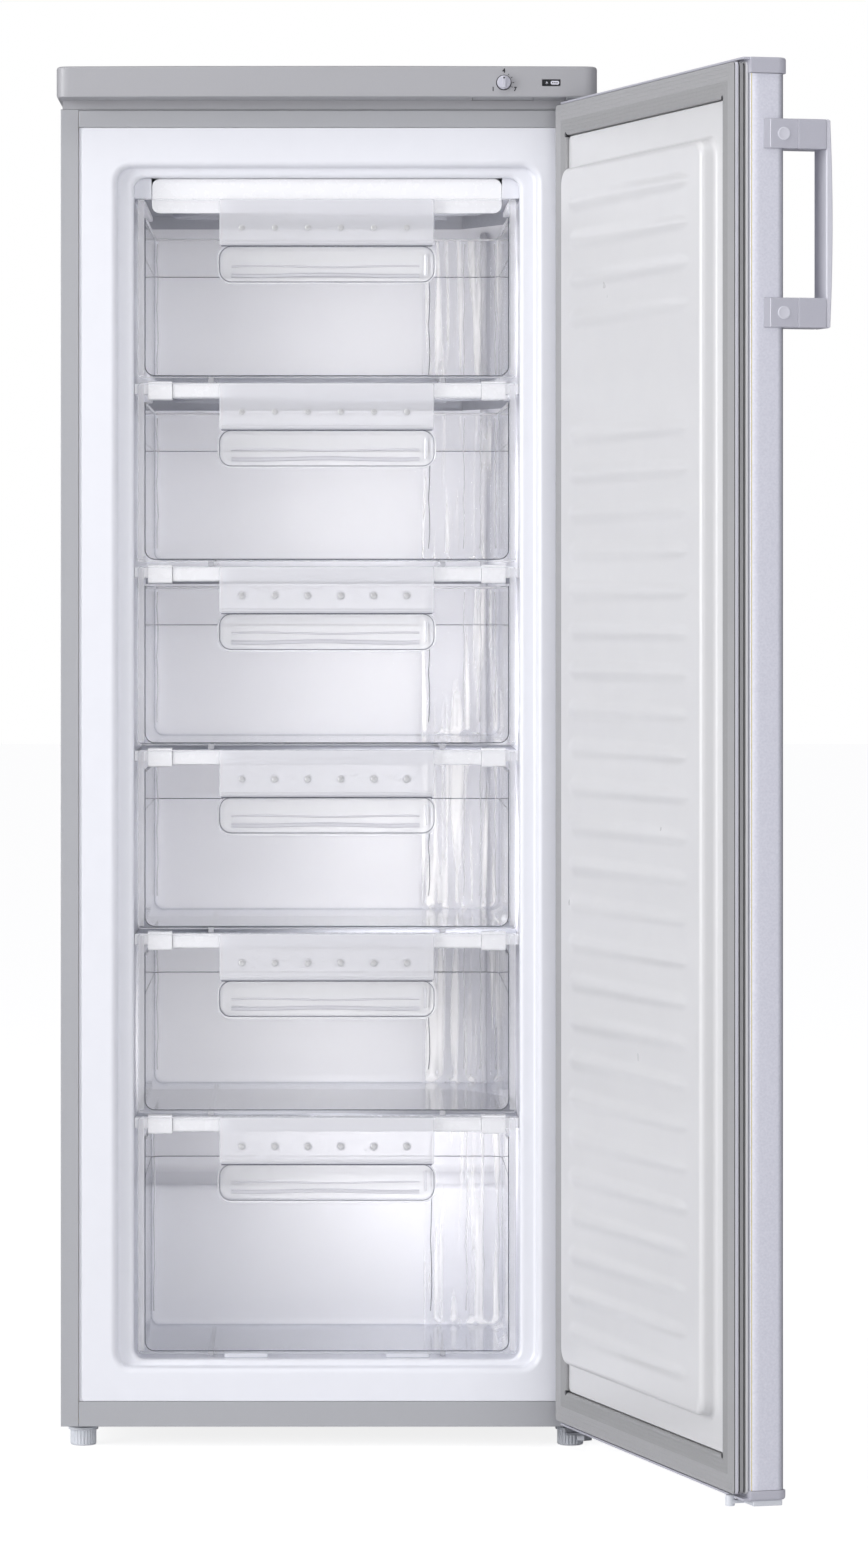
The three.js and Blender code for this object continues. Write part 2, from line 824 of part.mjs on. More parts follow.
function evaporatorRiser() {
  const y = shelfBack + fit + riserRadius;
  const wall = cavityBack - fit;
  const bend = riserBend;
  const top = ceilingShelfTop - riserDrop;
  const bottom = cavityFloor + riserFoot;
  const x = cavityHalfWidth - riserFromWall;
  const point = (depth, height) => new THREE.Vector3(x, depth, height);
  const upper = new THREE.QuadraticBezierCurve3(point(wall, top), point(y, top), point(y, top - bend));
  const lower = new THREE.QuadraticBezierCurve3(
    point(y, bottom + bend), point(y, bottom), point(wall, bottom),
  );
  const straight = new THREE.LineCurve3(point(y, top - bend + overlap), point(y, bottom + bend - overlap));
  return join(tube(upper, riserRadius, 5), tube(straight, riserRadius, 1), tube(lower, riserRadius, 5));
}

// Drawers -----------------------------------------------------------------------------------------

// The heights and depth of one drawer, counted from the top.
function drawerSizes(index) {
  const isTop = index === 0;
  const isLow = index === trimCount;
  const support = isLow ? cavityFloor : shelfTops[index + 1];
  const frontTop = isTop ? cavityCeiling - topDrawerInset : shelfTops[index];
  return {
    support,
    bottom: support + drawerLift,
    frontTop,
    sideTop: frontTop - drawerSideDrop,
    back: (isLow ? stepFront : shelfBack) - drawerRearGap,
  };
}

// The finger pocket's outline, grown outwards by a wall.
function pocketShape(top, wall) {
  const half = pocketHalfWidth + wall;
  return roundedRect([-half, half], [top - pocketBottom - wall, top - pocketTop + wall], pocketRadius + wall);
}

function drawer(index) {
  const { support, bottom, frontTop, sideTop, back } = drawerSizes(index);
  const faceBack = drawerFrontY + drawerWall;
  const across = [-drawerHalfWidth, drawerHalfWidth];
  const inner = [-drawerHalfWidth + drawerWall, drawerHalfWidth - drawerWall];
  const outline = roundedRect(across, [drawerFrontY, back], drawerCornerRadius);
  const room = roundedRect(inner, [faceBack, back - drawerWall], drawerCornerRadius - drawerWall);
  const tub = prism('XY', outline, bottom, sideTop);
  const hollow = prism('XY', room, bottom + drawerWall, sideTop + cutMargin);
  const face = prism(
    'XZ',
    roundedRect([-drawerFrontHalfWidth, drawerFrontHalfWidth], [bottom, frontTop], drawerFrontRadius),
    drawerFrontY,
    faceBack,
  );
  const grip = block(
    [-pocketHalfWidth, pocketHalfWidth],
    [drawerFrontY - gripProud, drawerFrontY + overlap],
    [frontTop - pocketTop, frontTop],
  );
  const pocketBack = drawerFrontY + pocketDepth;
  const pocketOuter = prism('XZ', pocketShape(frontTop, drawerWall), drawerFrontY, pocketBack + drawerWall);
  const pocketVoid = prism('XZ', pocketShape(frontTop, 0), drawerFrontY - 2 * gripProud, pocketBack);
  const runners = bothSides.map(([, side]) =>
    block(
      span(side, runnerX - runnerWidth / 2, runnerX + runnerWidth / 2),
      [faceBack + drawerCornerRadius, back - drawerCornerRadius],
      [support + fit, bottom + drawerWall / 2],
    ),
  );
  return cut(join(cut(tub, hollow), face, grip, pocketOuter, ...runners), pocketVoid);
}

// Hinges and feet -----------------------------------------------------------------------------------

const hingeSpanX = [hingeX - hingePlateHalfWidth, halfCabinet];
const hingeSpanY = [pivotY - hingeFrontMargin, pivotY - hingeFrontMargin + hingePlateLength];

function topHinge() {
  const bottom = doorTop + doorHeadroom;
  const plate = block(hingeSpanX, hingeSpanY, [bottom, bottom + hingePlateThickness]);
  const step = block(
    hingeSpanX,
    [hingeBlockFront, hingeSpanY[1]],
    [cabinetTop + fit, bottom + hingePlateThickness],
  );
  const pin = rod(hingeX, pivotY, [doorTop - pinLength, bottom + overlap], pinRadius);
  return join(plate, step, pin);
}

function bottomHinge() {
  const top = cabinetBottom - fit;
  const bottom = top - hingePlateThickness;
  const plate = block(hingeSpanX, hingeSpanY, [bottom, top]);
  const collar = rod(hingeX, pivotY, [bottom + overlap, doorBottom - fit], hingeCollarRadius);
  const pin = rod(hingeX, pivotY, [bottom + overlap, doorBottom + pinLength], pinRadius);
  const nut = rod(hingeX, pivotY, [bottom - hingeNutHeight, bottom + overlap], hingeNutRadius, 6);
  return cut(join(plate, collar, pin, nut), footBore(1));
}

function frontFoot(side) {
  const flange = footHeight - footFlangeHeight;
  return turned([
    [0, 0], [footRadius - footChamfer, 0], [footRadius, footChamfer], [footRadius, flange],
    [footFlangeRadius, flange], [footFlangeRadius, footHeight], [footShankRadius, footHeight],
    [footShankRadius, footShankTop], [0, footShankTop],
  ], 16).translate([side * footX, footFromFront, 0]);
}

function rearFoot(side) {
  const top = cabinetBottom - fit;
  return turned([
    [0, 0], [footRadius - footChamfer, 0], [footRadius, footChamfer], [footRadius, top], [0, top],
  ], 16).translate([side * footX, cabinetDepth - footFromBack, 0]);
}

// Cooling gear at the back ----------------------------------------------------------------------------

// The compressor's can in section, as shares of its radius and height.
const canProfile = [
  [0, 0], [0.72, 0], [0.94, 0.16], [1, 0.4], [1, 0.62], [0.92, 0.82], [0.62, 0.96], [0, 1],
];

function compressor() {
  const r = compressorRadius;
  const h = compressorHeight;
  const dome = turned(canProfile.map(([out, up]) => [out * r, overlap + up * (h - overlap)]), 24);
  const plate = block(
    [-compressorPlateX / 2, compressorPlateX / 2],
    [-compressorPlateY / 2, compressorPlateY / 2],
    [0, compressorPlateThickness],
  );
  const terminals = block(
    [r / 2, r + terminalReach],
    [-terminalHalfWidth, terminalHalfWidth],
    [terminalBottom, terminalTop],
  );
  return join(dome, plate, terminals).translate([-compressorOffset, compressorY, baseTop]);
}

// The condenser at the back: a tube to and fro, with upright wires across it and four feet.
function condenser() {
  const front = cabinetDepth + condenserGap;
  const back = front + condenserTube;
  const top = cabinetTop - condenserTopGap;
  const line = serpentine(condenserRuns, condenserPitch, condenserHalfWidth, condenserBottom);
  const tube = prism('XZ', bandShape(line, condenserTube), front, back);
  const wireHalf = condenserWireWidth / 2;
  const outerWire = condenserHalfWidth - condenserPitch / 2 - condenserWireInset;
  const wires = [];
  const feet = [];
  for (let i = 0; i < condenserWires; i += 1) {
    const x = outerWire * ((2 * i) / (condenserWires - 1) - 1);
    wires.push(block(
      [x - wireHalf, x + wireHalf],
      [back - wireHalf, back + wireHalf],
      [condenserBottom - condenserWireReach, top + condenserWireReach],
    ));
  }
  bothSides.forEach(([, side]) => [condenserBottom, top].forEach((z) => feet.push(block(
    span(side, outerWire - condenserFoot, outerWire + condenserFoot),
    [cabinetDepth + fit, back - wireHalf],
    [z - condenserFoot / 2, z + condenserFoot / 2],
  ))));
  return join(tube, ...wires, ...feet);
}

function mainsGland() {
  const spigot = glandRadius - sheet - boreFit;
  const rim = glandRadius + glandFlange;
  const inside = 2 * glandFlange;
  const profile = [
    [glandBore, -inside], [spigot, -inside], [spigot, fit], [rim, fit], [rim, glandFlange],
    [glandRadius, glandFlange], [glandRadius - glandTaper, glandLength], [glandBore, glandLength],
    [glandBore, -inside],
  ];
  return turned(profile, 16).rotate([-90, 0, 0]).translate([glandX, cabinetDepth, glandZ]);
}

// Door, drawn shut ------------------------------------------------------------------------------------

// The door's plan outline: square at the back, with its two front corners rounded.
function doorPlan(offset, back) {
  const half = halfDoor + offset;
  const front = doorFront - offset;
  const radius = doorCornerRadius + offset;
  const shape = new THREE.Shape();
  shape.moveTo(half, back);
  shape.lineTo(-half, back);
  shape.lineTo(-half, front + radius);
  shape.absarc(-half + radius, front + radius, radius, Math.PI, 1.5 * Math.PI);
  shape.absarc(half - radius, front + radius, radius, 1.5 * Math.PI, 2 * Math.PI);
  return shape;
}

function doorSkin() {
  const outer = prism('XY', doorPlan(0, steelBack), skinBottom, skinTop);
  const low = skinBottom - cutMargin;
  const high = skinTop + cutMargin;
  const hollow = prism('XY', doorPlan(-sheet, steelBack - sheet), low, high);
  const reach = halfDoor - skinLip;
  const open = block([-reach, reach], [steelBack - 2 * sheet, steelBack + cutMargin], [low, high]);
  return cut(outer, hollow, open);
}

function pinBore(level) {
  return rod(hingeX, pivotY, [level - 2 * topCapHeight, level + 2 * topCapHeight], pinRadius + boreFit);
}

// A door cap, with a thin lip along its outer edge that frames the gasket.
function doorCap(levels, hollowLevels, lipLevels, proud, bevel) {
  const slab = prism('XY', doorPlan(proud, steelBack), ...levels, { bevel });
  const reach = halfDoor - capHingeBlock;
  const hollow = block([-reach, reach], [doorFront + capWall, steelBack - capWall], hollowLevels);
  const lipHalf = halfDoor - capLipFromSide;
  const lip = block(
    [-lipHalf, lipHalf],
    [steelBack - capWall, steelBack + capLipReach],
    lipLevels,
  );
  return cut(join(slab, lip), hollow, pinBore((levels[0] + levels[1]) / 2));
}

// Under the free end of the bottom cap: a stop plate, with a small post on an arm behind the door.
function stopPlate() {
  const low = doorBottom - stopDrop;
  const across = [stopFromSide - halfDoor, stopLength - halfDoor];
  const plateBack = steelBack - stopFromBack;
  const postX = stopPostInset - halfDoor;
  const postY = steelBack + stopPostBehindSteel;
  const postLow = low - stopPostDrop;
  const plate = block(across, [doorFront + stopFromFront, plateBack], [low, doorBottom + capWall / 2]);
  const arm = block(
    [postX - stopArmWidth / 2, postX + stopArmWidth / 2],
    [plateBack - overlap, postY],
    [low, low + stopArmThickness],
  );
  const post = rod(postX, postY, [postLow, postLow + stopPostHeight], stopPostRadius, 16);
  return join(plate, arm, post);
}

function doorFoam() {
  const slab = prism('XY', doorPlan(-sheet - fit, steelBack - sheet - fit), skinBottom, skinTop);
  const reach = halfDoor - skinLip - fit;
  const back = block([-reach, reach], [steelBack - 2 * sheet, steelBack], [skinBottom, skinTop]);
  const inset = linerSheet + fit;
  const border = raisedBlock(borderHalfWidth, borderBottom, borderTop, inset, steelBack + borderRise);
  const plateau = raisedBlock(
    plateauHalfWidth, plateauBottom, plateauTop, inset, plateauFace, plateauBevel,
  );
  return join(slab, back, border, plateau);
}

// A raised field of the door's inner panel, or the space inside it when inset.
function raisedBlock(halfWidth, bottom, top, inset, face, bevel = 0) {
  const shape = roundedRect(
    [-halfWidth + inset, halfWidth - inset],
    [bottom + inset, top - inset],
    plateauRadius - inset,
  );
  return prism('XZ', shape, steelBack - 2 * plateauBevel, face - inset, { bevel });
}

// One raised rib: a long shallow swelling across the inner panel.
function linerRib(z) {
  const half = ribLength / 2;
  const full = ribEndShare * half;
  const rib = turned([[0, -half], [ribRadius, -full], [ribRadius, full], [0, half]], 6);
  return rib.rotate([0, 90, 0]).scale([1, ribRise / ribRadius, 1]).translate([0, plateauFace, z]);
}

// The ribs from the bottom up, with a flat field left free of them below the uppermost few.
function linerRibs() {
  const lowest = plateauBottom + ribMargin;
  const pitch = (plateauTop - ribMargin - lowest) / (ribCount - 1);
  const aboveField = ribCount - ribsAboveFlatField;
  return Array.from({ length: ribCount }, (_, i) => i)
    .filter((i) => i < aboveField - ribsLeftOut || i >= aboveField)
    .map((i) => linerRib(lowest + i * pitch));
}

function doorLiner() {
  const front = steelBack + fit;
  const base = block(
    [-gasketOuterHalf, gasketOuterHalf],
    [front, front + linerSheet],
    [gasketBottom, gasketTop],
  );
  const border = raisedBlock(borderHalfWidth, borderBottom, borderTop, 0, steelBack + borderRise);
  const plateau = raisedBlock(plateauHalfWidth, plateauBottom, plateauTop, 0, plateauFace, plateauBevel);
  const behind = block([-halfDoor, halfDoor], [steelBack - doorSteel, front], [doorBottom, doorTop]);
  return cut(
    join(base, border, plateau, ...linerRibs()),
    behind,
    raisedBlock(borderHalfWidth, borderBottom, borderTop, linerSheet, steelBack + borderRise),
    raisedBlock(plateauHalfWidth, plateauBottom, plateauTop, linerSheet, plateauFace, plateauBevel),
  );
}

function doorGasket() {
  const outer = roundedRect([-gasketOuterHalf, gasketOuterHalf], [gasketBottom, gasketTop], gasketRadius);
  outer.holes.push(roundedRect(
    [-gasketInnerHalf, gasketInnerHalf],
    [gasketBottom + gasketEndWidth, gasketTop - gasketEndWidth],
    gasketRadius,
  ));
  return prism('XZ', outer, linerBack + fit, -gasketGap);
}

// Handle ----------------------------------------------------------------------------------------------

// A bracket seen from above: a side plate with a chamfered end, and a front block out to the grip.
function handleBracket(bottom) {
  const inner = -halfDoor - fit;
  const end = doorFront + bracketWrap;
  const out = doorFront - bracketReach;
  const shape = new THREE.Shape();
  shape.moveTo(inner, end);
  shape.lineTo(handleOuterX + bracketChamferDepth, end);
  shape.lineTo(handleOuterX, end - bracketChamferLength);
  shape.lineTo(handleOuterX, out);
  shape.lineTo(handleInnerX, out);
  shape.lineTo(handleInnerX, doorFront - fit);
  shape.lineTo(inner, doorFront - fit);
  const hole = screwCapRod(bottom, screwCapRadius + fit, screwCapDepth);
  return cut(prism('XY', shape, bottom, bottom + bracketHeight), hole);
}

// A short rod along X at a bracket's screw, from outside down to a depth in its side plate.
function screwCapRod(bottom, radius, depth, proud = cutMargin) {
  const y = doorFront + screwCapBehindFront;
  const length = depth + proud;
  const turnedRod = rod(0, 0, [0, length], radius, 16).rotate([0, 90, 0]);
  return turnedRod.translate([handleOuterX - proud, y, bottom + bracketHeight / 2]);
}

// The grip: two legs with a bowed bar across their ends, set back a little at its side.
function handleGrip() {
  const from = doorFront - bracketReach - fit;
  const outer = doorFront - gripReach;
  const inner = outer + gripThickness;
  const middle = (handleBottom + handleTop) / 2;
  const shape = new THREE.Shape();
  shape.moveTo(from, handleBottom);
  shape.lineTo(from, handleBottom + bracketHeight);
  shape.lineTo(inner, handleBottom + bracketHeight);
  shape.quadraticCurveTo(inner - 2 * gripBow, middle, inner, handleTop - bracketHeight);
  shape.lineTo(from, handleTop - bracketHeight);
  shape.lineTo(from, handleTop);
  shape.lineTo(outer, handleTop);
  shape.quadraticCurveTo(outer - 2 * gripBow, middle, outer, handleBottom);
  const frame = prism('YZ', shape, handleOuterX + gripStep, handleInnerX, { curveSegments: 8 });
  const legSides = [handleBottom, handleTop - bracketHeight].map((bottom) => block(
    [handleOuterX, handleOuterX + gripStep + overlap],
    [inner, from],
    [bottom, bottom + bracketHeight],
  ));
  return join(frame, ...legSides);
}

// Assembly --------------------------------------------------------------------------------------------

addPiece('cabinet_shell', cabinetShell(), silverPaint);
addPiece('top_rail', crossRail(flangeTop + fit, cabinetTop - sheet - fit), silverPaint);
addPiece('bottom_rail', crossRail(cabinetBottom, flangeBottom - fit), silverPaint);
addPiece('back_panel', backPanel(), zincSteel);
addPiece('base_plate', basePlate(), zincSteel);
addPiece('inner_liner', innerLiner(), whitePlastic);
addPiece('cabinet_foam', cabinetFoam(), foamFill);
addPiece('worktop', worktop(), silverPlastic);
addPiece('thermostat', thermostat(), darkPlastic);
addPiece('thermostat_knob', thermostatKnob(), silverPlastic);
addPiece('fascia_badge', badgeSlot(0, 0, badgeThickness - fit), darkPlastic);
addPiece('ceiling_cover', ceilingCover(), whitePlastic);
addPiece('evaporator_riser', evaporatorRiser(), plainAluminium);

shelfTops.forEach((top, i) => {
  addPiece(`evaporator_shelf_${i + 1}`, coolingShelf(top), plainAluminium);
  if (i === 0) {
    return;
  }
  addPiece(`shelf_trim_${i + 1}`, shelfTrim(top), whitePlastic);
  bothSides.forEach(([word, side]) => {
    addPiece(`trim_sleeve_${i + 1}_${word}`, trimSleeve(top, side), whitePlastic);
  });
});

for (let i = 0; i <= trimCount; i += 1) {
  addPiece(`drawer_${i + 1}`, drawer(i), clearPlastic);
}

addPiece('top_hinge', topHinge(), zincSteel);
addPiece('bottom_hinge', bottomHinge(), zincSteel);
addPiece('compressor', compressor(), blackEnamel);
addPiece('condenser', condenser(), blackEnamel);
addPiece('mains_gland', mainsGland(), darkPlastic);
bothSides.forEach(([word, side]) => {
  addPiece(`front_foot_${word}`, frontFoot(side), greyFootPlastic);
  addPiece(`rear_foot_${word}`, rearFoot(side), greyFootPlastic);
});

const topCapBottom = doorTop - topCapHeight;
const bottomCapTop = doorBottom + bottomCapHeight;
addDoorPiece('door_skin', doorSkin(), silverPaint);
addDoorPiece(
  'door_top_cap',
  doorCap(
    [topCapBottom, doorTop],
    [topCapBottom - overlap, doorTop - capWall],
    [doorTop - capLip, doorTop],
    topCapProud,
    topCapBevel,
  ),
  silverPlastic,
);
addDoorPiece(
  'door_bottom_cap',
  join(
    doorCap(
      [doorBottom, bottomCapTop],
      [doorBottom + capWall, bottomCapTop + overlap],
      [doorBottom, doorBottom + capLip],
      bottomCapProud,
      bottomCapBevel,
    ),
    stopPlate(),
  ),
  silverPlastic,
);
addDoorPiece('door_foam', doorFoam(), foamFill);
addDoorPiece('door_liner', doorLiner(), whitePlastic);
addDoorPiece('door_gasket', doorGasket(), gasketRubber);
addDoorPiece('handle_grip', handleGrip(), silverPlastic);
[['bottom', handleBottom], ['top', handleTop - bracketHeight]].forEach(([word, bottom]) => {
  addDoorPiece(`handle_bracket_${word}`, handleBracket(bottom), silverPlastic);
  const cap = screwCapRod(bottom, screwCapRadius, screwCapDepth - fit, fit);
  addDoorPiece(`handle_screw_cap_${word}`, cap, silverPlastic);
});

// The origin is on the floor, under the middle of the whole freezer as it stands with its door open.
freezer.updateMatrixWorld(true);
const bounds = new THREE.Box3().setFromObject(freezer, true);
const middle = bounds.getCenter(new THREE.Vector3());
freezer.position.set(-middle.x, -middle.y, -bounds.min.z);

export default freezer;
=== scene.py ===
import json
import math

import bmesh
import bpy
from mathutils import Matrix, Vector

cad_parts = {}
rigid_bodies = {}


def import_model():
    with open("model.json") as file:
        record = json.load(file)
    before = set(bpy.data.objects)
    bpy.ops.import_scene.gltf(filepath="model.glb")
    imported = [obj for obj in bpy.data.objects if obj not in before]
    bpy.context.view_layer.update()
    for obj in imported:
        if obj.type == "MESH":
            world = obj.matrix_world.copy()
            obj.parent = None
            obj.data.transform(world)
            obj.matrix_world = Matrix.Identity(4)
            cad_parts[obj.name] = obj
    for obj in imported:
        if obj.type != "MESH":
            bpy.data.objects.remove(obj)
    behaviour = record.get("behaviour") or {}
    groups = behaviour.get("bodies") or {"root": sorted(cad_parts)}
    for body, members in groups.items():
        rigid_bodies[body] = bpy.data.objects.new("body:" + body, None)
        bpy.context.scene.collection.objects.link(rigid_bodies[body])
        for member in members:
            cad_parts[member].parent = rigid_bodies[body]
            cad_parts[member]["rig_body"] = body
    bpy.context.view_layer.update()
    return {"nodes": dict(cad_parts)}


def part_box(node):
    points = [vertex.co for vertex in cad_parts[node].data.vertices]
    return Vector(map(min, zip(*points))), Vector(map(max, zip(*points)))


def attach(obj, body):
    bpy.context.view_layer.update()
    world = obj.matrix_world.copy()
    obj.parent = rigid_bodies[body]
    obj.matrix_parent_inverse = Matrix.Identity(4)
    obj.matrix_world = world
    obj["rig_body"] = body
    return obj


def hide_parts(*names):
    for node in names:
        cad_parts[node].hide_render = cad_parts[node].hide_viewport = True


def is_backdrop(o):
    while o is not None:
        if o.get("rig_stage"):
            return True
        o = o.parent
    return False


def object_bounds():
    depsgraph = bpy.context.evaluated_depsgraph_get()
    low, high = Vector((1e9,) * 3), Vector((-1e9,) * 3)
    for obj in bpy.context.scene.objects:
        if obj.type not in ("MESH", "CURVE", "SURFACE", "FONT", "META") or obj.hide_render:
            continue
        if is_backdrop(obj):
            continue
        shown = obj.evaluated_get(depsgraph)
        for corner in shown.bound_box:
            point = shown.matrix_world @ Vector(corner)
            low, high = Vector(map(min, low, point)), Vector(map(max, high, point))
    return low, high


# Upright freezer with its door standing open, seen from the front. Shapes are drawn in millimetres, with X
# from the cabinet's middle, Y back from its front plane and Z up from the floor. The door's pieces are drawn
# as if it were shut.

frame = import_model()
bodyOf = {node: obj["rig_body"] for node, obj in frame["nodes"].items()}
print("frame loaded:", len(frame["nodes"]), "nodes")

shellLow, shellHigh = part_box("cabinet_shell")
cabinetPlace = Matrix.Translation(((shellLow.x + shellHigh.x) / 2, shellLow.y, 0)) @ Matrix.Scale(0.001, 4)
doorSwing = {"pivot": (263.5, -30, 0), "degrees": 106}
doorPlace = (
    cabinetPlace
    @ Matrix.Translation(doorSwing["pivot"])
    @ Matrix.Rotation(math.radians(doorSwing["degrees"]), 4, "Z")
    @ Matrix.Translation(-Vector(doorSwing["pivot"]))
)

# Levels of the six shelves, from the ceiling down: each value is the top of the front trim
shelfTops = [1297, 1098.3, 908.5, 718.7, 528.9, 339.1]


# Materials


def hexColour(code):
    channels = [int(code[i : i + 2], 16) / 255 for i in (1, 3, 5)]
    linear = [c / 12.92 if c <= 0.04045 else ((c + 0.055) / 1.055) ** 2.4 for c in channels]
    return (*linear, 1)


# Adds a node; a setting or link is named by the node's own attribute, or by an input's name or number.
def addNode(tree, kind, settings=None, links=None):
    node = tree.nodes.new(kind)
    for name, value in (settings or {}).items():
        if isinstance(name, str) and hasattr(node, name):
            setattr(node, name, value)
        else:
            node.inputs[name].default_value = value
    for name, socket in (links or {}).items():
        tree.links.new(socket, node.inputs[name])
    return node


def emptyMaterial(name, slotName):
    material = bpy.data.materials.new(name)
    material.use_nodes = True
    material.node_tree.nodes.clear()
    material["slotName"] = slotName
    return material, material.node_tree


# A noise pattern whose grains measure this many millimetres
def grain(tree, size, detail=2, stretch=None):
    place = addNode(tree, "ShaderNodeTexCoord").outputs["Object"]
    if stretch:
        place = addNode(tree, "ShaderNodeMapping", {"Scale": stretch}, {"Vector": place}).outputs[0]
    return addNode(
        tree, "ShaderNodeTexNoise", {"Scale": 1000 / size, "Detail": detail}, {"Vector": place}
    ).outputs["Fac"]


# One opaque surface: a base colour that drifts a little, roughness that varies, and a fine relief.
def surface(name, slotName, look):
    material, tree = emptyMaterial(name, slotName)
    pattern = grain(tree, look["grain"], look.get("detail", 2), look.get("stretch"))
    drift = addNode(
        tree, "ShaderNodeMix",
        {"data_type": "RGBA", 6: hexColour(look["colour"]), 7: hexColour(look["drift"])}, {0: pattern},
    )
    if "flop" in look:  # metallic lacquer turns darker as it is seen at a slant
        facing = addNode(tree, "ShaderNodeLayerWeight", {"Blend": 0.5}).outputs["Facing"]
        drift = addNode(
            tree, "ShaderNodeMix", {"data_type": "RGBA", 7: hexColour(look["flop"])},
            {0: facing, 6: drift.outputs[2]},
        )
    low, high = look["roughness"]
    roughness = addNode(tree, "ShaderNodeMapRange", {"To Min": low, "To Max": high}, {"Value": pattern})
    relief = addNode(
        tree, "ShaderNodeBump", {"Distance": look["relief"] / 1000, "Strength": 1}, {"Height": pattern}
    )
    shader = addNode(
        tree, "ShaderNodeBsdfPrincipled", look.get("shader"),
        {"Base Color": drift.outputs[2], "Roughness": roughness.outputs[0], "Normal": relief.outputs[0]},
    )
    addNode(tree, "ShaderNodeOutputMaterial", None, {"Surface": shader.outputs[0]})
    return material


# Clear plastic as a thin sheet: what lies behind shows through, greyer and brighter on glancing walls.
def clearSheet(name, look):
    material, tree = emptyMaterial(name, "clear_plastic")
    facing = addNode(tree, "ShaderNodeLayerWeight", {"Blend": 0.5}).outputs["Facing"]
    steep = addNode(tree, "ShaderNodeMath", {"operation": "POWER", 1: look["glance"]}, {0: facing}).outputs[0]
    tint = addNode(
        tree, "ShaderNodeMix",
        {"data_type": "RGBA", 6: hexColour(look["through"]), 7: hexColour(look["edge"])}, {0: steep},
    )
    see = addNode(tree, "ShaderNodeBsdfTransparent", None, {"Color": tint.outputs[2]})
    wave = grain(tree, look["grain"])
    relief = addNode(
        tree, "ShaderNodeBump", {"Distance": look["relief"] / 1000, "Strength": 1}, {"Height": wave}
    )
    shine = addNode(
        tree, "ShaderNodeBsdfAnisotropic", {"Color": (1, 1, 1, 1), "Roughness": look["roughness"]},
        {"Normal": relief.outputs[0]},
    )
    # A milky diffuse layer: real haze in the plain sheet, and painted light where a material raises it on
    # rims, grip, pocket, bosses and streaked walls
    milkAndPaintedLight = addNode(tree, "ShaderNodeBsdfDiffuse", {"Color": hexColour(look["milkAndPaintedLight"])})
    hazeAndLightMix = addNode(tree, "ShaderNodeMixShader", {0: look["hazeAndPaintedLight"]}, {1: see.outputs[0], 2: milkAndPaintedLight.outputs[0]})
    if "streaks" in look:  # long ribbons of painted reflection, paler and clearer by turns
        streaks = addNode(
            tree, "ShaderNodeMapRange",
            {"From Min": 0.5, "From Max": 0.66, "To Min": look["hazeAndPaintedLight"], "To Max": look["streaks"]},
            {"Value": grain(tree, look["streakWidth"], 1, (1, 1, 0.05))},
        )
        tree.links.new(streaks.outputs[0], hazeAndLightMix.inputs[0])
    # The reflected share grows from its value straight on to one at the rim, as in Schlick's formula
    share = addNode(tree, "ShaderNodeMath", {"operation": "POWER", 1: 5}, {0: facing})
    share = addNode(
        tree, "ShaderNodeMath", {"operation": "MULTIPLY_ADD", 1: 1 - look["mirror"], 2: look["mirror"]},
        {0: share.outputs[0]},
    )
    mixed = addNode(
        tree, "ShaderNodeMixShader", None, {0: share.outputs[0], 1: hazeAndLightMix.outputs[0], 2: shine.outputs[0]},
    )
    addNode(tree, "ShaderNodeOutputMaterial", None, {"Surface": mixed.outputs[0]})
    return material


# Coil-coated steel, silver lacquer: an even mid grey with a satin sheen
silverPaint = surface("coil_coated_steel_silver", "silver_paint", {
    "colour": "#b7b8bc", "drift": "#b2b3b7",
    "grain": 1.5,  # real flakes are about 0.05 mm; drawn coarser so that they show
    "roughness": (0.38, 0.46), "relief": 0.004,
    "shader": {"Metallic": 0.2, "Coat Weight": 0.15, "Coat Roughness": 0.2},
})
# The door's steel skin, sprayed with metallic lacquer: paler and bluish, with a sparkle that reads as grain
doorPaint = surface("door_steel_metallic_lacquer", "silver_paint", {
    "colour": "#f3f3fd", "drift": "#d6d7e4", "flop": "#4a4b56",
    "grain": 2.2,  # flakes of about 0.1 mm, drawn coarser so that they show
    "detail": 4, "roughness": (0.32, 0.5), "relief": 0.05,
    "shader": {"Metallic": 0.05, "Coat Weight": 0.2, "Coat Roughness": 0.2},
})
# Moulded ABS in silver-grey: the worktop, door caps; broad soft highlights along its rounded edges
silverAbs = surface("moulded_abs_silver", "silver_plastic", {
    "colour": "#aaaaae", "drift": "#a6a6aa",
    "grain": 1.2,  # spark-eroded mould texture of about 0.3 mm, drawn coarser
    "roughness": (0.36, 0.44), "relief": 0.006, "shader": {"IOR": 1.53},
})
# Moulded ABS in pale lavender grey: the handle, smooth and a little glossier
handleAbs = surface("moulded_abs_handle", "silver_plastic", {
    "colour": "#c3c3cd", "drift": "#bdbdc8", "grain": 1.2, "roughness": (0.3, 0.38), "relief": 0.005,
    "shader": {"IOR": 1.53},
})
# The same plastic, paler: on the grip's bar a painted brightening against the door's shadow on it
gripAbs = surface("moulded_abs_grip", "silver_plastic", {
    "colour": "#dadae3", "drift": "#d5d5df", "grain": 1.2, "roughness": (0.28, 0.34), "relief": 0.004,
    "shader": {"IOR": 1.53},
})
# Vacuum-formed polystyrene: the cabinet's inner liner, glossy white with a lavender cast
linerStyrene = surface("vacuum_formed_styrene_liner", "white_plastic", {
    "colour": "#ecedf3", "drift": "#e8e9ef", "grain": 30, "roughness": (0.26, 0.34), "relief": 0.05,
    "shader": {"IOR": 1.59},
})
# The door's inner panel, the same process but a warmer white; its ribs show as soft light and shade
panelStyrene = surface("vacuum_formed_styrene_door", "white_plastic", {
    "colour": "#dadadb", "drift": "#d7d7d9", "grain": 40, "roughness": (0.26, 0.32), "relief": 0.01,
    "shader": {"IOR": 1.59},
})
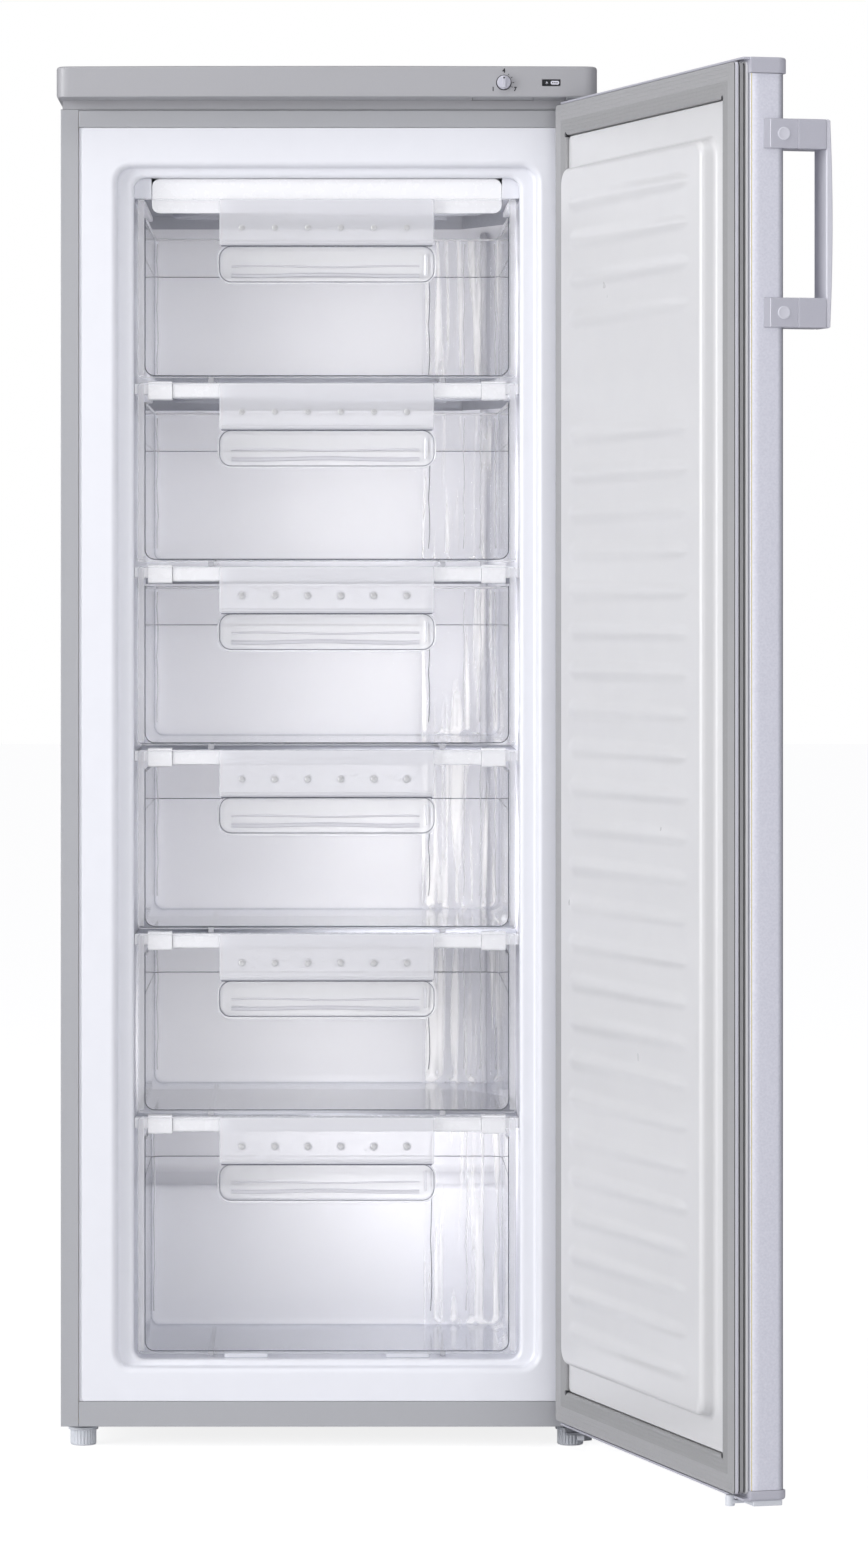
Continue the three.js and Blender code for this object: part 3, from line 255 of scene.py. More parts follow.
# Moulded ABS, white: trims, sleeves and the ceiling cover, the whitest pieces
whiteAbs = surface("moulded_abs_white", "white_plastic", {
    "colour": "#fcfcfe", "drift": "#fafafc", "grain": 8, "roughness": (0.24, 0.3), "relief": 0.01,
    "shader": {"IOR": 1.53},
})
# Extruded soft PVC: the door seal, matt grey with faint lines along it
sealVinyl = surface("extruded_pvc_seal", "gasket", {
    "colour": "#9f9fa0", "drift": "#98989a", "grain": 3, "roughness": (0.5, 0.6), "relief": 0.03,
    "shader": {"IOR": 1.52},
})
# The same vinyl on the outer part of the seal's face: paler
sealOuterVinyl = surface("extruded_pvc_seal_outer", "gasket", {
    "colour": "#a9a9ab", "drift": "#a3a3a5", "grain": 3, "roughness": (0.45, 0.55), "relief": 0.02,
    "shader": {"IOR": 1.52},
})
# Its outer lips, thin enough to pass some light: palest
sealLipVinyl = surface("extruded_pvc_seal_lip", "gasket", {
    "colour": "#d6d6de", "drift": "#cfcfd8", "grain": 3, "roughness": (0.45, 0.55), "relief": 0.02,
    "shader": {"IOR": 1.52},
})
# Powder-coated aluminium tube: the riser between the shelves, white with a soft sheen
coatedTube = surface("powder_coated_tube", "aluminium", {
    "colour": "#dfe0e5", "drift": "#d8d9df", "grain": 3, "roughness": (0.3, 0.4), "relief": 0.02,
    "shader": {"IOR": 1.5},
})
# Rolled aluminium sheet and tube: the cooling shelves, dull grey with a blurred reflection
rolledAluminium = surface("rolled_aluminium", "aluminium", {
    "colour": "#a6a8b1", "drift": "#9c9ea7", "grain": 6, "stretch": (0.15, 1, 1),
    "roughness": (0.5, 0.65), "relief": 0.02, "shader": {"Metallic": 0.3},
})
# Hot-dip galvanised steel: hinges, base and back sheet, with spangles of some millimetres
galvanised = surface("galvanised_steel", "zinc_steel", {
    "colour": "#a9abb0", "drift": "#96989d", "grain": 9, "detail": 1, "roughness": (0.3, 0.5),
    "relief": 0.01, "shader": {"Metallic": 1},
})
# Stoved black enamel on drawn steel: the compressor and the condenser, deep black with a hard shine
blackEnamel = surface("stoved_black_enamel", "black_enamel", {
    "colour": "#17181a", "drift": "#1d1e21", "grain": 2, "roughness": (0.25, 0.38), "relief": 0.02,
    "shader": {"IOR": 1.5, "Coat Weight": 0.3, "Coat Roughness": 0.15},
})
# Moulded polypropylene, grey: the feet and the door's stop, waxy and dull
greyPolypropylene = surface("moulded_polypropylene_grey", "grey_plastic", {
    "colour": "#e2e5eb", "drift": "#dadde3", "grain": 1.5, "roughness": (0.42, 0.55), "relief": 0.01,
    "shader": {"IOR": 1.49},
})
# Moulded polypropylene, near black: badge face, dial marks and the thermostat's housing; the same black also
# paints shade round the knob and in the door seal's folds and corners
blackPlasticAndPaintedShade = surface("moulded_polypropylene_black_and_painted_shade", "dark_plastic", {
    "colour": "#1c1d20", "drift": "#222327", "grain": 1, "roughness": (0.35, 0.45), "relief": 0.004,
    "shader": {"IOR": 1.49},
})
# Polyurethane foam, foamed in place: pale straw colour with a coarse cell pattern, hidden inside the walls
rigidFoam = surface("rigid_polyurethane_foam", "foam", {
    "colour": "#e6d9a8", "drift": "#d3c48c", "grain": 4, "roughness": (0.85, 0.95), "relief": 0.4,
    "shader": {"IOR": 1.5},
})
# Injection-moulded crystal polystyrene: the drawers, seen through with a grey cast
clearStyrene = clearSheet("clear_polystyrene", {
    "through": "#fefefe", "edge": "#b0b4c0", "glance": 2.6, "milkAndPaintedLight": "#f2f2f6", "hazeAndPaintedLight": 0.012,
    "mirror": 0.035, "roughness": 0.13,
    "grain": 60,  # slow waves from the mould's cooling
    "relief": 0.03,
})
# The same polystyrene at rims, bosses and flanges, milky as painted light where light gathers, so the plastic
# reads as pale glass
styreneLitEdge = clearSheet("clear_polystyrene_painted_edge_light", {
    "through": "#f6f6f9", "edge": "#a2a4b0", "glance": 1.5, "milkAndPaintedLight": "#fafafc", "hazeAndPaintedLight": 0.42,
    "mirror": 0.1, "roughness": 0.12, "grain": 12, "relief": 0.1,
})
# Painted shade: where two walls meet, light is turned aside, and the plastic is drawn as a thin dark line
styreneShadeLine = clearSheet("clear_polystyrene_painted_shade_line", {
    "through": "#9c9faa", "edge": "#7d808c", "glance": 1, "milkAndPaintedLight": "#9a9da8", "hazeAndPaintedLight": 0.25, "mirror": 0.1,
    "roughness": 0.1, "grain": 20, "relief": 0.05,
})
# Deep-drawn side walls: upright ribbons, paler and clearer by turns, painted reflections of light glancing
# off the wall
styreneReflectionStreaks = clearSheet("clear_polystyrene_deep_wall", {
    "through": "#fdfdfe", "edge": "#e4e6ec", "glance": 2, "milkAndPaintedLight": "#ffffff", "hazeAndPaintedLight": 0.04, "streaks": 0.6,
    "streakWidth": 9, "mirror": 0.05, "roughness": 0.09, "grain": 40, "relief": 0.05,
})
# The grip plate: a little milky, a painted brightening for the light its double layer reflects
styreneGrip = clearSheet("clear_polystyrene_grip_painted_light", {
    "through": "#f8f8fa", "edge": "#c0c3cc", "glance": 2, "milkAndPaintedLight": "#f0f0f4", "hazeAndPaintedLight": 0.52, "mirror": 0.06,
    "roughness": 0.14, "grain": 40, "relief": 0.03,
})
# The finger pocket's back, seen through two skins: a little milky, a painted brightening for the pale glow
# there
styrenePocket = clearSheet("clear_polystyrene_pocket", {
    "through": "#ffffff", "edge": "#d0d3db", "glance": 2, "milkAndPaintedLight": "#ffffff", "hazeAndPaintedLight": 0.4, "mirror": 0.05,
    "roughness": 0.12, "grain": 30, "relief": 0.03,
})
# Small polished bosses: painted dark at the rim, as a lens shows its surroundings, with a bright point
styreneBoss = clearSheet("clear_polystyrene_boss", {
    "through": "#ffffff", "edge": "#565963", "glance": 1.1, "milkAndPaintedLight": "#ffffff", "hazeAndPaintedLight": 0.45,
    "mirror": 0.25, "roughness": 0.05, "grain": 20, "relief": 0.01,
})
print("materials made")


# Shapes


# Points round a rounded rectangle, from its lower right corner on. Rings with the same counts can be joined.
def ring(left, right, low, high, radius, across=1, up=1, corner=6):
    centres = [
        (right - radius, low + radius, -90, up), (right - radius, high - radius, 0, across),
        (left + radius, high - radius, 90, up), (left + radius, low + radius, 180, across),
    ]
    points = []
    for index, (x, z, start, count) in enumerate(centres):
        for step in range(corner + 1):
            angle = math.radians(start + 90 * step / corner)
            points.append((x + radius * math.cos(angle), z + radius * math.sin(angle)))
        nextX, nextZ, nextStart, _ = centres[(index + 1) % 4]
        angle = math.radians(nextStart)
        end = (nextX + radius * math.cos(angle), nextZ + radius * math.sin(angle))
        begin = points[-1]
        for step in range(1, count):
            t = step / count
            points.append((begin[0] + (end[0] - begin[0]) * t, begin[1] + (end[1] - begin[1]) * t))
    return points


def upright(points, y):
    return [(x, y, z) for x, z in points]


# An upright rounded rectangle across the middle line, grown outwards all round
def plateRing(half, low, high, radius, y, grow=0, **counts):
    return upright(ring(-half - grow, half + grow, low - grow, high + grow, radius, **counts), y)


def level(points, z):
    return [(x, y, z) for x, y in points]


# Joins rings of points into a skin.
def loft(bm, rings, closed=True, first=False, last=False, finish=0):
    made = [[bm.verts.new(p) for p in points] for points in rings]
    count = len(made[0])
    for a, b in zip(made, made[1:]):
        for i in range(count if closed else count - 1):
            j = (i + 1) % count
            face = bm.faces.new((a[i], a[j], b[j], b[i]))
            face.material_index = finish
    for wanted, points in ((first, made[0]), (last, made[-1])):
        if wanted:
            bm.faces.new(points).material_index = finish
    return made


# Steps of a quarter turn, as (sine, 1 - cosine) pairs
def quarter(steps):
    return [
        (math.sin(math.pi / 2 * i / steps), 1 - math.cos(math.pi / 2 * i / steps))
        for i in range(steps + 1)
    ]


# A block with rounded edges all round, its corners turned about Y
def roundBlock(bm, xSpan, ySpan, zSpan, radius, edge, finish=0, corner=5):
    front = [(edge * d, ySpan[0] + edge * (1 - s)) for s, d in quarter(3)][::-1]
    back = [(edge * d, ySpan[1] - edge * (1 - s)) for s, d in quarter(3)]
    made = [
        upright(
            ring(
                xSpan[0] + inset, xSpan[1] - inset, zSpan[0] + inset, zSpan[1] - inset,
                max(radius - inset, 0.05), corner=corner,
            ),
            y,
        )
        for inset, y in front + back
    ]
    loft(bm, made, first=True, last=True, finish=finish)


# A solid turned about an axis through a point: the profile gives radius and distance along the axis.
def turned(bm, profile, centre, axis, steps=32, finish=0, ripple=None):
    along = Vector(axis).normalized()
    side = along.orthogonal().normalized()
    other = along.cross(side)
    rings = []
    for index, (radius, distance) in enumerate(profile):
        points = []
        for step in range(steps):
            angle = 2 * math.pi * step / steps
            reach = radius * (ripple(index, step) if ripple else 1)
            points.append(
                Vector(centre) + along * distance + (side * math.cos(angle) + other * math.sin(angle)) * reach
            )
        rings.append(points)
    loft(bm, rings, first=True, last=True, finish=finish)


# A round tube along a path of points
def tube(bm, path, radius, sides=10, finish=0):
    points = [Vector(p) for p in path]
    normal = None
    rings = []
    for index, point in enumerate(points):
        ahead = points[min(index + 1, len(points) - 1)] - points[max(index - 1, 0)]
        ahead.normalize()
        if normal is None:
            normal = ahead.orthogonal()
        normal = (normal - ahead * normal.dot(ahead)).normalized()
        other = ahead.cross(normal)
        turns = [2 * math.pi * i / sides for i in range(sides)]
        rings.append([point + (normal * math.cos(t) + other * math.sin(t)) * radius for t in turns])
    loft(bm, rings, first=True, last=True, finish=finish)


# A serpentine in its own plane: straight runs joined by half circles
def serpentine(runs, pitch, half, start, steps=10):
    path = []
    for run in range(runs):
        side = 1 if run % 2 == 0 else -1
        across = start + run * pitch
        path += [(-side * half, across), (side * half, across)]
        if run < runs - 1:
            for step in range(1, steps):
                angle = math.pi * step / steps
                path.append(
                    (side * (half + pitch / 2 * math.sin(angle)), across + pitch / 2 * (1 - math.cos(angle)))
                )
    return path


# Large faces keep their flat shading beside small rounded ones.
def keepFlat(obj):
    weighted = obj.modifiers.new("flat_faces_stay_flat", "WEIGHTED_NORMAL")
    weighted.keep_sharp = True


# Turns a mesh in millimetres into a piece. Where a CAD node has its name, the piece stands for that node.
def makePiece(name, bm, materials, place=cabinetPlace, angle=35, merge=True):
    if merge:
        bmesh.ops.remove_doubles(bm, verts=bm.verts, dist=0.001)
        bmesh.ops.recalc_face_normals(bm, faces=bm.faces)
    mesh = bpy.data.meshes.new(name)
    bm.to_mesh(mesh)
    bm.free()
    mesh.transform(place)
    materials = materials if isinstance(materials, list) else [materials]
    for material in materials:
        mesh.materials.append(material)
    mesh.polygons.foreach_set("use_smooth", [True] * len(mesh.polygons))
    mesh.set_sharp_from_angle(angle=math.radians(angle))
    obj = bpy.data.objects.new(name, mesh)
    bpy.context.scene.collection.objects.link(obj)
    if merge:
        keepFlat(obj)
    nodes = (name,) if name in bodyOf else ()
    body = "cabinet"  # for a piece that has no CAD node
    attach(obj, bodyOf[nodes[0]] if nodes else body)
    if nodes:
        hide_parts(*nodes)
    return obj


# A piece of the door, drawn as if the door were shut
def doorPiece(name, bm, materials, angle=35):
    makePiece(name, bm, materials, doorPlace, angle)


# A copy of a CAD node with its flat faces cleaned up and its edges rounded.
def softened(node, material, width):
    bm = bmesh.new()
    bm.from_mesh(frame["nodes"][node].data)
    bmesh.ops.remove_doubles(bm, verts=bm.verts, dist=2e-6)
    bmesh.ops.dissolve_limit(
        bm, angle_limit=math.radians(0.5), verts=bm.verts, edges=bm.edges, use_dissolve_boundaries=False
    )
    obj = makePiece(node, bm, material, place=Matrix.Identity(4), merge=False)
    bevel = obj.modifiers.new("rounded_edges", "BEVEL")
    bevel.width = width / 1000
    bevel.segments = 3
    bevel.limit_method = "ANGLE"
    bevel.angle_limit = math.radians(32)
    bevel.use_clamp_overlap = True
    keepFlat(obj)


# A CAD node shown as it is, with a better finish
def dressed(node, material):
    obj = frame["nodes"][node]
    for place in obj.material_slots:
        place.link = "OBJECT"
        place.material = material


# Cabinet

for node, material, width in (
    ("cabinet_shell", silverPaint, 0.8), ("top_rail", silverPaint, 0.8), ("bottom_rail", silverPaint, 0.8),
    ("worktop", silverAbs, 1.2), ("thermostat", blackPlasticAndPaintedShade, 1), ("ceiling_cover", whiteAbs, 0.7),
    ("top_hinge", galvanised, 0.4), ("bottom_hinge", galvanised, 0.4),
    ("mains_gland", blackPlasticAndPaintedShade, 0.5),
):
    softened(node, material, width)
for index in range(2, 7):
    softened(f"shelf_trim_{index}", whiteAbs, 0.8)
    softened(f"trim_sleeve_{index}_left", whiteAbs, 0.8)
    softened(f"trim_sleeve_{index}_right", whiteAbs, 0.8)
for node, material in (
    ("back_panel", galvanised), ("base_plate", galvanised), ("cabinet_foam", rigidFoam),
    ("door_foam", rigidFoam),
):
    dressed(node, material)
print("softened pieces made")

liner = {
    "flange": (252.5, 49, 1360.2),
    "recess": (216, 84, 1320, 16, 15),  # half width, bottom, top, corner radius, depth
    "cavity": (199, 90, 1310, 12, 430),
    "step": (280, 245),  # front of the compressor's step, and its top
    "edge": 0.8,
    "lip": 7,  # rounding from the flange into the recess
    "foot": 4, "mouth": 5, "bend": 12, "stepEdge": 7, "ledges": ((190.5, 199), (52, 400), 6),
    "pads": ((61, 106), (32, 62), (90, 94.7)), "shoulders": ((181.3, 199.2), (31, 35.7), (1288.9, 1310.2)),
}


# One ring of the liner, grown outwards from the recess or the cavity
def linerRing(form, grow, y, lift=0):
    half, low, high, radius = form[:4]
    return upright(
        ring(-half - grow, half + grow, low - grow + lift, high + grow, radius + grow, corner=8), y
    )


bm = bmesh.new()
half, low, high = liner["flange"]
edge = liner["edge"]
rings = [
    plateRing(half + 2.7, low, high, 0.5, 2.5, corner=8),
    plateRing(half, low, high, 3, 2.5, corner=8),
    plateRing(half, low, high, 3, edge, corner=8),
    plateRing(half, low, high, 3, 0, -edge, corner=8),
]
for sine, dip in quarter(5):
    rings.append(linerRing(liner["recess"], liner["lip"] * (1 - sine), liner["lip"] * dip))
depth = liner["recess"][4]
for sine, dip in quarter(4):
    rings.append(linerRing(liner["recess"], -liner["foot"] * dip, depth - liner["foot"] * (1 - sine)))
for sine, dip in quarter(5):
    rings.append(linerRing(liner["cavity"], liner["mouth"] * (1 - sine), depth + liner["mouth"] * dip))
stepFront, stepTop = liner["step"]
bend = liner["bend"]
floor = liner["cavity"][1]
for sine, dip in quarter(5):  # floor up into the step's front
    rings.append(linerRing(liner["cavity"], 0, stepFront - bend * (1 - sine), bend * dip))
edge = liner["stepEdge"]
for sine, dip in quarter(5):  # over the step's top edge
    rings.append(linerRing(liner["cavity"], 0, stepFront + edge * dip, stepTop - floor - edge * (1 - sine)))
back = liner["cavity"][4]
for sine, dip in quarter(5):
    rings.append(linerRing(liner["cavity"], -0.8 * bend * dip, back - bend * (1 - sine), stepTop - floor))
loft(bm, rings, last=True)
(inner, outer), deep, height = liner["ledges"]
for top in shelfTops:
    ledgeTop = top - 3.5
    for side in (-1, 1):
        roundBlock(bm, sorted((side * inner, side * outer)), deep, (ledgeTop - height, ledgeTop), 1.5, 1)
(inner, outer), deep, tall = liner["pads"]
for side in (-1, 1):
    roundBlock(bm, sorted((side * inner, side * outer)), deep, tall, 1.5, 1)
(inner, outer), deep, tall = liner["shoulders"]
for side in (-1, 1):
    roundBlock(bm, sorted((side * inner, side * outer)), deep, tall, 1, 0.8)
makePiece("inner_liner", bm, linerStyrene)
print("liner made")

shelf = {
    "half": 198.4, "front": 36, "back": 405, "corner": (50, 100), "sheet": 1.5, "drop": 1.7, "tube": 3.9,
    "runs": (5, 66, 130, 78),  # coil runs, pitch, half length, first run's depth
    "fold": 14,
}
for index, top in enumerate(shelfTops, 1):
    bm = bmesh.new()
    half, front, back = shelf["half"], shelf["front"], shelf["back"]
    cutX, cutY = shelf["corner"]
    outline = [(-half, front), (half, front), (half, back - cutY)]
    outline += [(half - cutX * 0.5, back - cutY * 0.5), (half - cutX, back - 5), (half - cutX, back)]
    outline += [(-half, back)]
    upper = top - shelf["drop"]
    lower = upper - shelf["sheet"]
    loft(bm, [level(outline, lower), level(outline, upper)], first=True, last=True)
    # Its rear edge and cut corner are folded down
    edge = [(-half, back), (half - cutX, back), (half - cutX, back - 5)]
    edge += [(half - cutX * 0.5, back - cutY * 0.5), (half, back - cutY)]
    deep = lower - shelf["fold"]
    for inset in (0, shelf["sheet"]):
        loft(bm, [[(x, y - inset, z) for x, y in edge] for z in (lower + 0.1, deep)], closed=False)
    runs, pitch, reach, first = shelf["runs"]
    path = [(x, y, lower - shelf["tube"] - 0.1) for x, y in serpentine(runs, pitch, reach, first)]
    tube(bm, path, shelf["tube"])
    makePiece(f"evaporator_shelf_{index}", bm, rolledAluminium)

riser = {"x": 172, "y": 409.3, "wall": 429.5, "bottom": 330, "top": 1273, "radius": 3.9, "bend": 14}
bm = bmesh.new()
path = [(riser["x"], riser["wall"], riser["bottom"])]
for sine, dip in quarter(6):
    path.append((riser["x"], riser["y"] + riser["bend"] * (1 - sine), riser["bottom"] + riser["bend"] * dip))
for sine, dip in reversed(quarter(6)):
    path.append((riser["x"], riser["y"] + riser["bend"] * (1 - sine), riser["top"] - riser["bend"] * dip))
path.append((riser["x"], riser["wall"], riser["top"]))
tube(bm, path, riser["radius"], 14)
makePiece("evaporator_riser", bm, coatedTube)
print("shelves and riser made")

# Drawers

drawer = {
    "tops": [1288.6, 1098.3, 908.5, 718.7, 528.9, 339.1], "bottoms": [1103.3, 913.5, 723.7, 533.9, 344.1, 95],
    "backs": [390, 390, 390, 390, 390, 265], "half": 195.5, "front": 26, "wall": 2.5, "tubHalf": 188,
    "tubDrop": 20, "tubRadius": 14, "bend": 10, "gripHalf": 111, "grip": 49, "pocket": 86, "pocketDepth": 22,
    "pocketRadius": 12, "bead": 42, "runner": (117, 123), "dots": [-87.8 + 34.14 * i for i in range(6)],
    "dotDrop": 30, "ribbonsFrom": 104,
    "glints": ((-185, 5, 0.7, 1), (112, 1, 0.45, 2), (150, 1, 0.6, 1), (168, 1, 0.6, 1), (184, 5, 0.8, 1)),
    "bullnoseAndShadeLine": ((3.4, 2.6, 1), (0.2, 0.6, 2)), "pocketHighlights": ((8, 2.2, 1), (17, 1.0, 1)),
    "mouth": 2, "pocketBend": 5, "gripProud": 2.3, "rim": 1.3, "line": 0.5, "plateEdge": 0.9,
    "boss": [(0.05, 0), (1.5, 0.12), (2.7, 0.4), (3.4, 0.8), (3.8, 1.3), (3.8, 1.7)],  # radius and depth
    "bossShadeRing": [(2.9, 1.2), (3.4, 0.7), (4.4, 1.0), (4.6, 1.9)],
    "seam": 0.55, "flange": (0.8, 1, 3, 1.5),  # gaps to the tub, the side, the bottom and the top
    "wave": (2.2, 0.7, 23),  # how far a highlight line stands off, its swing and its length
    "runnerEnds": 14, "runnerHeight": (4.7, 1),
}
drawerPlastics = [clearStyrene, styreneLitEdge, styreneShadeLine, styreneReflectionStreaks]
drawerPlastics += [styreneGrip, styrenePocket, styreneBoss]
litEdgeFinish, shadeLineFinish, reflectionStreakFinish, gripFinish, pocketFinish, bossFinish = range(1, 7)


# The tub's outline seen from above, open at the front, grown inwards
def tubOutline(inset, back):
    half = drawer["tubHalf"] - inset
    radius = drawer["tubRadius"] - inset * 0.5
    front = drawer["front"] + drawer["wall"]
    points = [(-half, front), (-half, (front + back) / 2), (-half, back - inset - radius)]
    for step in range(1, 7):
        angle = math.radians(180 - 90 * step / 6)
        points.append(
            (-half + radius + radius * math.cos(angle), back - inset - radius + radius * math.sin(angle))
        )
    mirrored = [(-x, y) for x, y in reversed(points)]
    rear = [(drawer["ribbonsFrom"], back - inset)]
    return points + rear + mirrored


for index in range(6):
    top, bottom, back = (drawer[key][index] for key in ("tops", "bottoms", "backs"))
    front, wall = drawer["front"], drawer["wall"]
    bm = bmesh.new()
    # Tub: walls, a rounded fillet and the floor; its right side carries upright ribbons of painted reflection
    sideTop = top - drawer["tubDrop"]
    floor = bottom + wall
    rings = [level(tubOutline(0, back), sideTop)]
    for sine, dip in quarter(5):
        rings.append(level(tubOutline(drawer["bend"] * dip, back), floor + drawer["bend"] * (1 - sine)))
    loft(bm, rings, closed=False, last=True)
    for skin in bm.faces:
        if skin.calc_center_median().x > drawer["ribbonsFrom"]:
            skin.material_index = reflectionStreakFinish
    # Rolled rim along the tub's top
    thick = drawer["rim"]
    rim = [(x, y, sideTop - thick) for x, y in tubOutline(thick, back)]
    tube(bm, rim, thick, 8, finish=litEdgeFinish)
    # A painted dark line round the tub, below its rim
    bead = [(x, y, sideTop - drawer["bead"]) for x, y in tubOutline(0.3, back)]
    tube(bm, bead, drawer["line"], 6, finish=shadeLineFinish)
    # Front plate: its face, with the finger pocket let in
    half = drawer["half"]
    pocketTop, pocketLow = top - drawer["grip"], top - drawer["pocket"]
    reach = drawer["gripHalf"]
    edge = drawer["plateEdge"]
    rings = []
    for inset, y in [(0, front + wall)] + [
        (edge * dip, front + edge * (1 - sine)) for sine, dip in quarter(3)
    ]:
        rings.append(plateRing(half, bottom, top, 3, y, -inset))
    loft(bm, rings, finish=litEdgeFinish)
    mouth = []
    for sine, dip in quarter(4):
        grow = drawer["mouth"] * (1 - sine)
        radius = drawer["pocketRadius"] + grow
        mouth.append(plateRing(reach, pocketLow, pocketTop, radius, front + drawer["mouth"] * dip, grow))
    loft(bm, [rings[-1], mouth[0]])
    loft(bm, mouth, finish=litEdgeFinish)
    pocketBack = front + drawer["pocketDepth"]
    pocketRings = [mouth[-1]]
    for sine, dip in quarter(4):
        radius = drawer["pocketRadius"] - 2 * dip
        y = pocketBack - drawer["pocketBend"] * (1 - sine)
        pocketRings.append(plateRing(reach, pocketLow, pocketTop, radius, y, -drawer["pocketBend"] * dip))
    loft(bm, pocketRings, last=True, finish=pocketFinish)
    off, swing, length = drawer["wave"]
    # Painted highlights: wavy bright lines across the pocket's back
    for rise, thick, finish in drawer["pocketHighlights"]:
        wave = [
            (x, pocketBack - off, pocketLow + rise + swing * math.sin(x / length + rise))
            for x in range(-reach + 12, reach - 10, 15)
        ]
        tube(bm, wave, thick, 6, finish=finish)
    # A painted highlight: an upright bright line at the pocket's right end
    tube(
        bm, [(reach - 9, pocketBack - 4, pocketLow + 8), (reach - 9, pocketBack - 4, pocketTop - 8)], 1.4, 8,
        finish=litEdgeFinish,
    )
    # A painted dark line of shade round the pocket's mouth
    outline = pocketRings[0] + pocketRings[0][:1]
    tube(bm, [(x, front + 2.2, z) for x, _, z in outline], drawer["line"], 6, finish=shadeLineFinish)
    # Flanges beside the tub, painted pale where light gathers, and a painted dark line of shade where its
    # walls and floor meet the front plate
    tubHalf = drawer["tubHalf"]
    besideTub, besideEdge, above, below = drawer["flange"]
    for side in (-1, 1):
        across = sorted((side * (tubHalf + besideTub), side * (half - besideEdge)))
        flange = ring(*across, bottom + above, top - below, 0.5, corner=1)
        loft(bm, [upright(flange, front + 0.4), upright(flange, front + 0.1)], last=True, finish=litEdgeFinish)
    seam = [(-tubHalf, front + wall, sideTop)]
    for sine, dip in quarter(5):
        seam.append((-tubHalf + drawer["bend"] * dip, front + wall, floor + drawer["bend"] * (1 - sine)))
    seam += [(-x, y, z) for x, y, z in reversed(seam)]
    tube(bm, seam, drawer["seam"], 6, finish=shadeLineFinish)
    for x, inward, thick, finish in drawer["glints"]:  # upright lines of light and shade at the rear
        low, high = floor + drawer["bend"] + 4, sideTop - 6
        wander = [
            (x + 0.8 * math.sin(i * 1.9 + x), back - inward, low + (high - low) * i / 8) for i in range(9)
        ]
        tube(bm, wander, thick, 6, finish=finish)
    # Grip plate over the pocket, with a rounded lower edge
    grip = []
    for sine, dip in quarter(4):
        y = front - 0.1 - drawer["gripProud"] * sine
        grip.append(plateRing(reach, pocketTop + 0.5, top - 0.2, 2, y, -dip, corner=4))
    loft(bm, grip, last=True, finish=gripFinish)
    # A bright rounded lower edge in the milky edge plastic, as painted light, and a painted dark line of
    # shade below it
    for drop, thick, finish in drawer["bullnoseAndShadeLine"]:
        tube(
            bm, [(x, front - 0.9, pocketTop + drop) for x in (-reach + 2, 0, reach - 2)], thick, 12,
            finish=finish,
        )
    for x in drawer["dots"]:  # each boss, and a painted dark ring of shade at its foot
        for key, finish in (("boss", bossFinish), ("bossShadeRing", shadeLineFinish)):
            place = (x, front - 3, top - drawer["dotDrop"])
            turned(bm, drawer[key], place, (0, 1, 0), 20, finish=finish)
    # Runners under the floor
    inner, outer = drawer["runner"]
    deep = (front + wall + drawer["runnerEnds"], back - drawer["runnerEnds"])
    below, above = drawer["runnerHeight"]
    for side in (-1, 1):
        across = sorted((side * inner, side * outer))
        roundBlock(bm, across, deep, (bottom - below, bottom + above), 1, 0.8, finish=litEdgeFinish)
    makePiece(f"drawer_{index + 1}", bm, drawerPlastics)
print("drawers made")

# Dial and badge

dial = {
    "centre": (181, 1403), "seat": -40.8, "radius": 7, "depth": 7, "ridge": (2, 6, 3),
    "ticks": (60, 33, 0, -28), "gap": (7.05, 7.9), "tick": (8.8, 10.4, 0.6),
    "numbers": {"1": (-11, -6.8), "4": (0, 12), "7": (11.6, -6.8)}, "digit": 4.5,
    "fontPerDigit": 1.35, "bold": 0.16, "ink": 0.12, "gapShadeLift": 0.06, "edge": 1.2,
    "pointer": (0.9, 0.12, 1.8),  # radius, height, distance from the ridge's end
}
fascia = {"front": -45, "bow": 8, "half": 277, "sunk": 0.3}


# Depth of the worktop's bowed front at a distance from its middle
def bow(x):
    return fascia["front"] + fascia["bow"] * (x / fascia["half"]) ** 2


bm = bmesh.new()
x, z = dial["centre"]
seat, radius, depth, edge = dial["seat"], dial["radius"], dial["depth"], dial["edge"]
turned(
    bm,
    [(radius, 0), (radius, -depth + edge)]
    + [(radius - edge * d, -depth + edge * (1 - s)) for s, d in quarter(4)]
    + [(radius - 2, -depth)], (x, seat, z), (0, 1, 0), 48,
)
half, reach, rise = dial["ridge"]
roundBlock(
    bm, (x - half, x + half), (seat - depth - rise, seat - depth + 0.5), (z - reach, z + reach), 1.2, 0.8
)
radius, thick, drop = dial["pointer"]
profile = [(radius, 0), (radius, -thick)]
turned(bm, profile, (x, seat - depth - rise, z + reach - drop), (0, 1, 0), 16, finish=1)
makePiece("thermostat_knob", bm, [handleAbs, blackPlasticAndPaintedShade])


# Sets a flat shape down on the worktop's bowed front, this far in front of it.
def onFascia(points, lift):
    return [(x, bow(x) - lift, z) for x, z in points]


def flatPatch(bm, points, lift, finish=0):
    upper = onFascia(points, lift)
    lower = onFascia(points, -fascia["sunk"])
    loft(bm, [lower, upper], last=True, finish=finish)


bm = bmesh.new()
centreX, centreZ = dial["centre"]
inner, outer, thick = dial["tick"]
for bearing in dial["ticks"]:
    angle = math.radians(bearing)
    along = Vector((math.cos(angle), math.sin(angle)))
    side = Vector((-along.y, along.x)) * thick / 2
    middle = Vector((centreX, centreZ))
    corners = [
        middle + along * inner - side, middle + along * outer - side, middle + along * outer + side,
        middle + along * inner + side,
    ]
    flatPatch(bm, [tuple(c) for c in corners], dial["ink"])
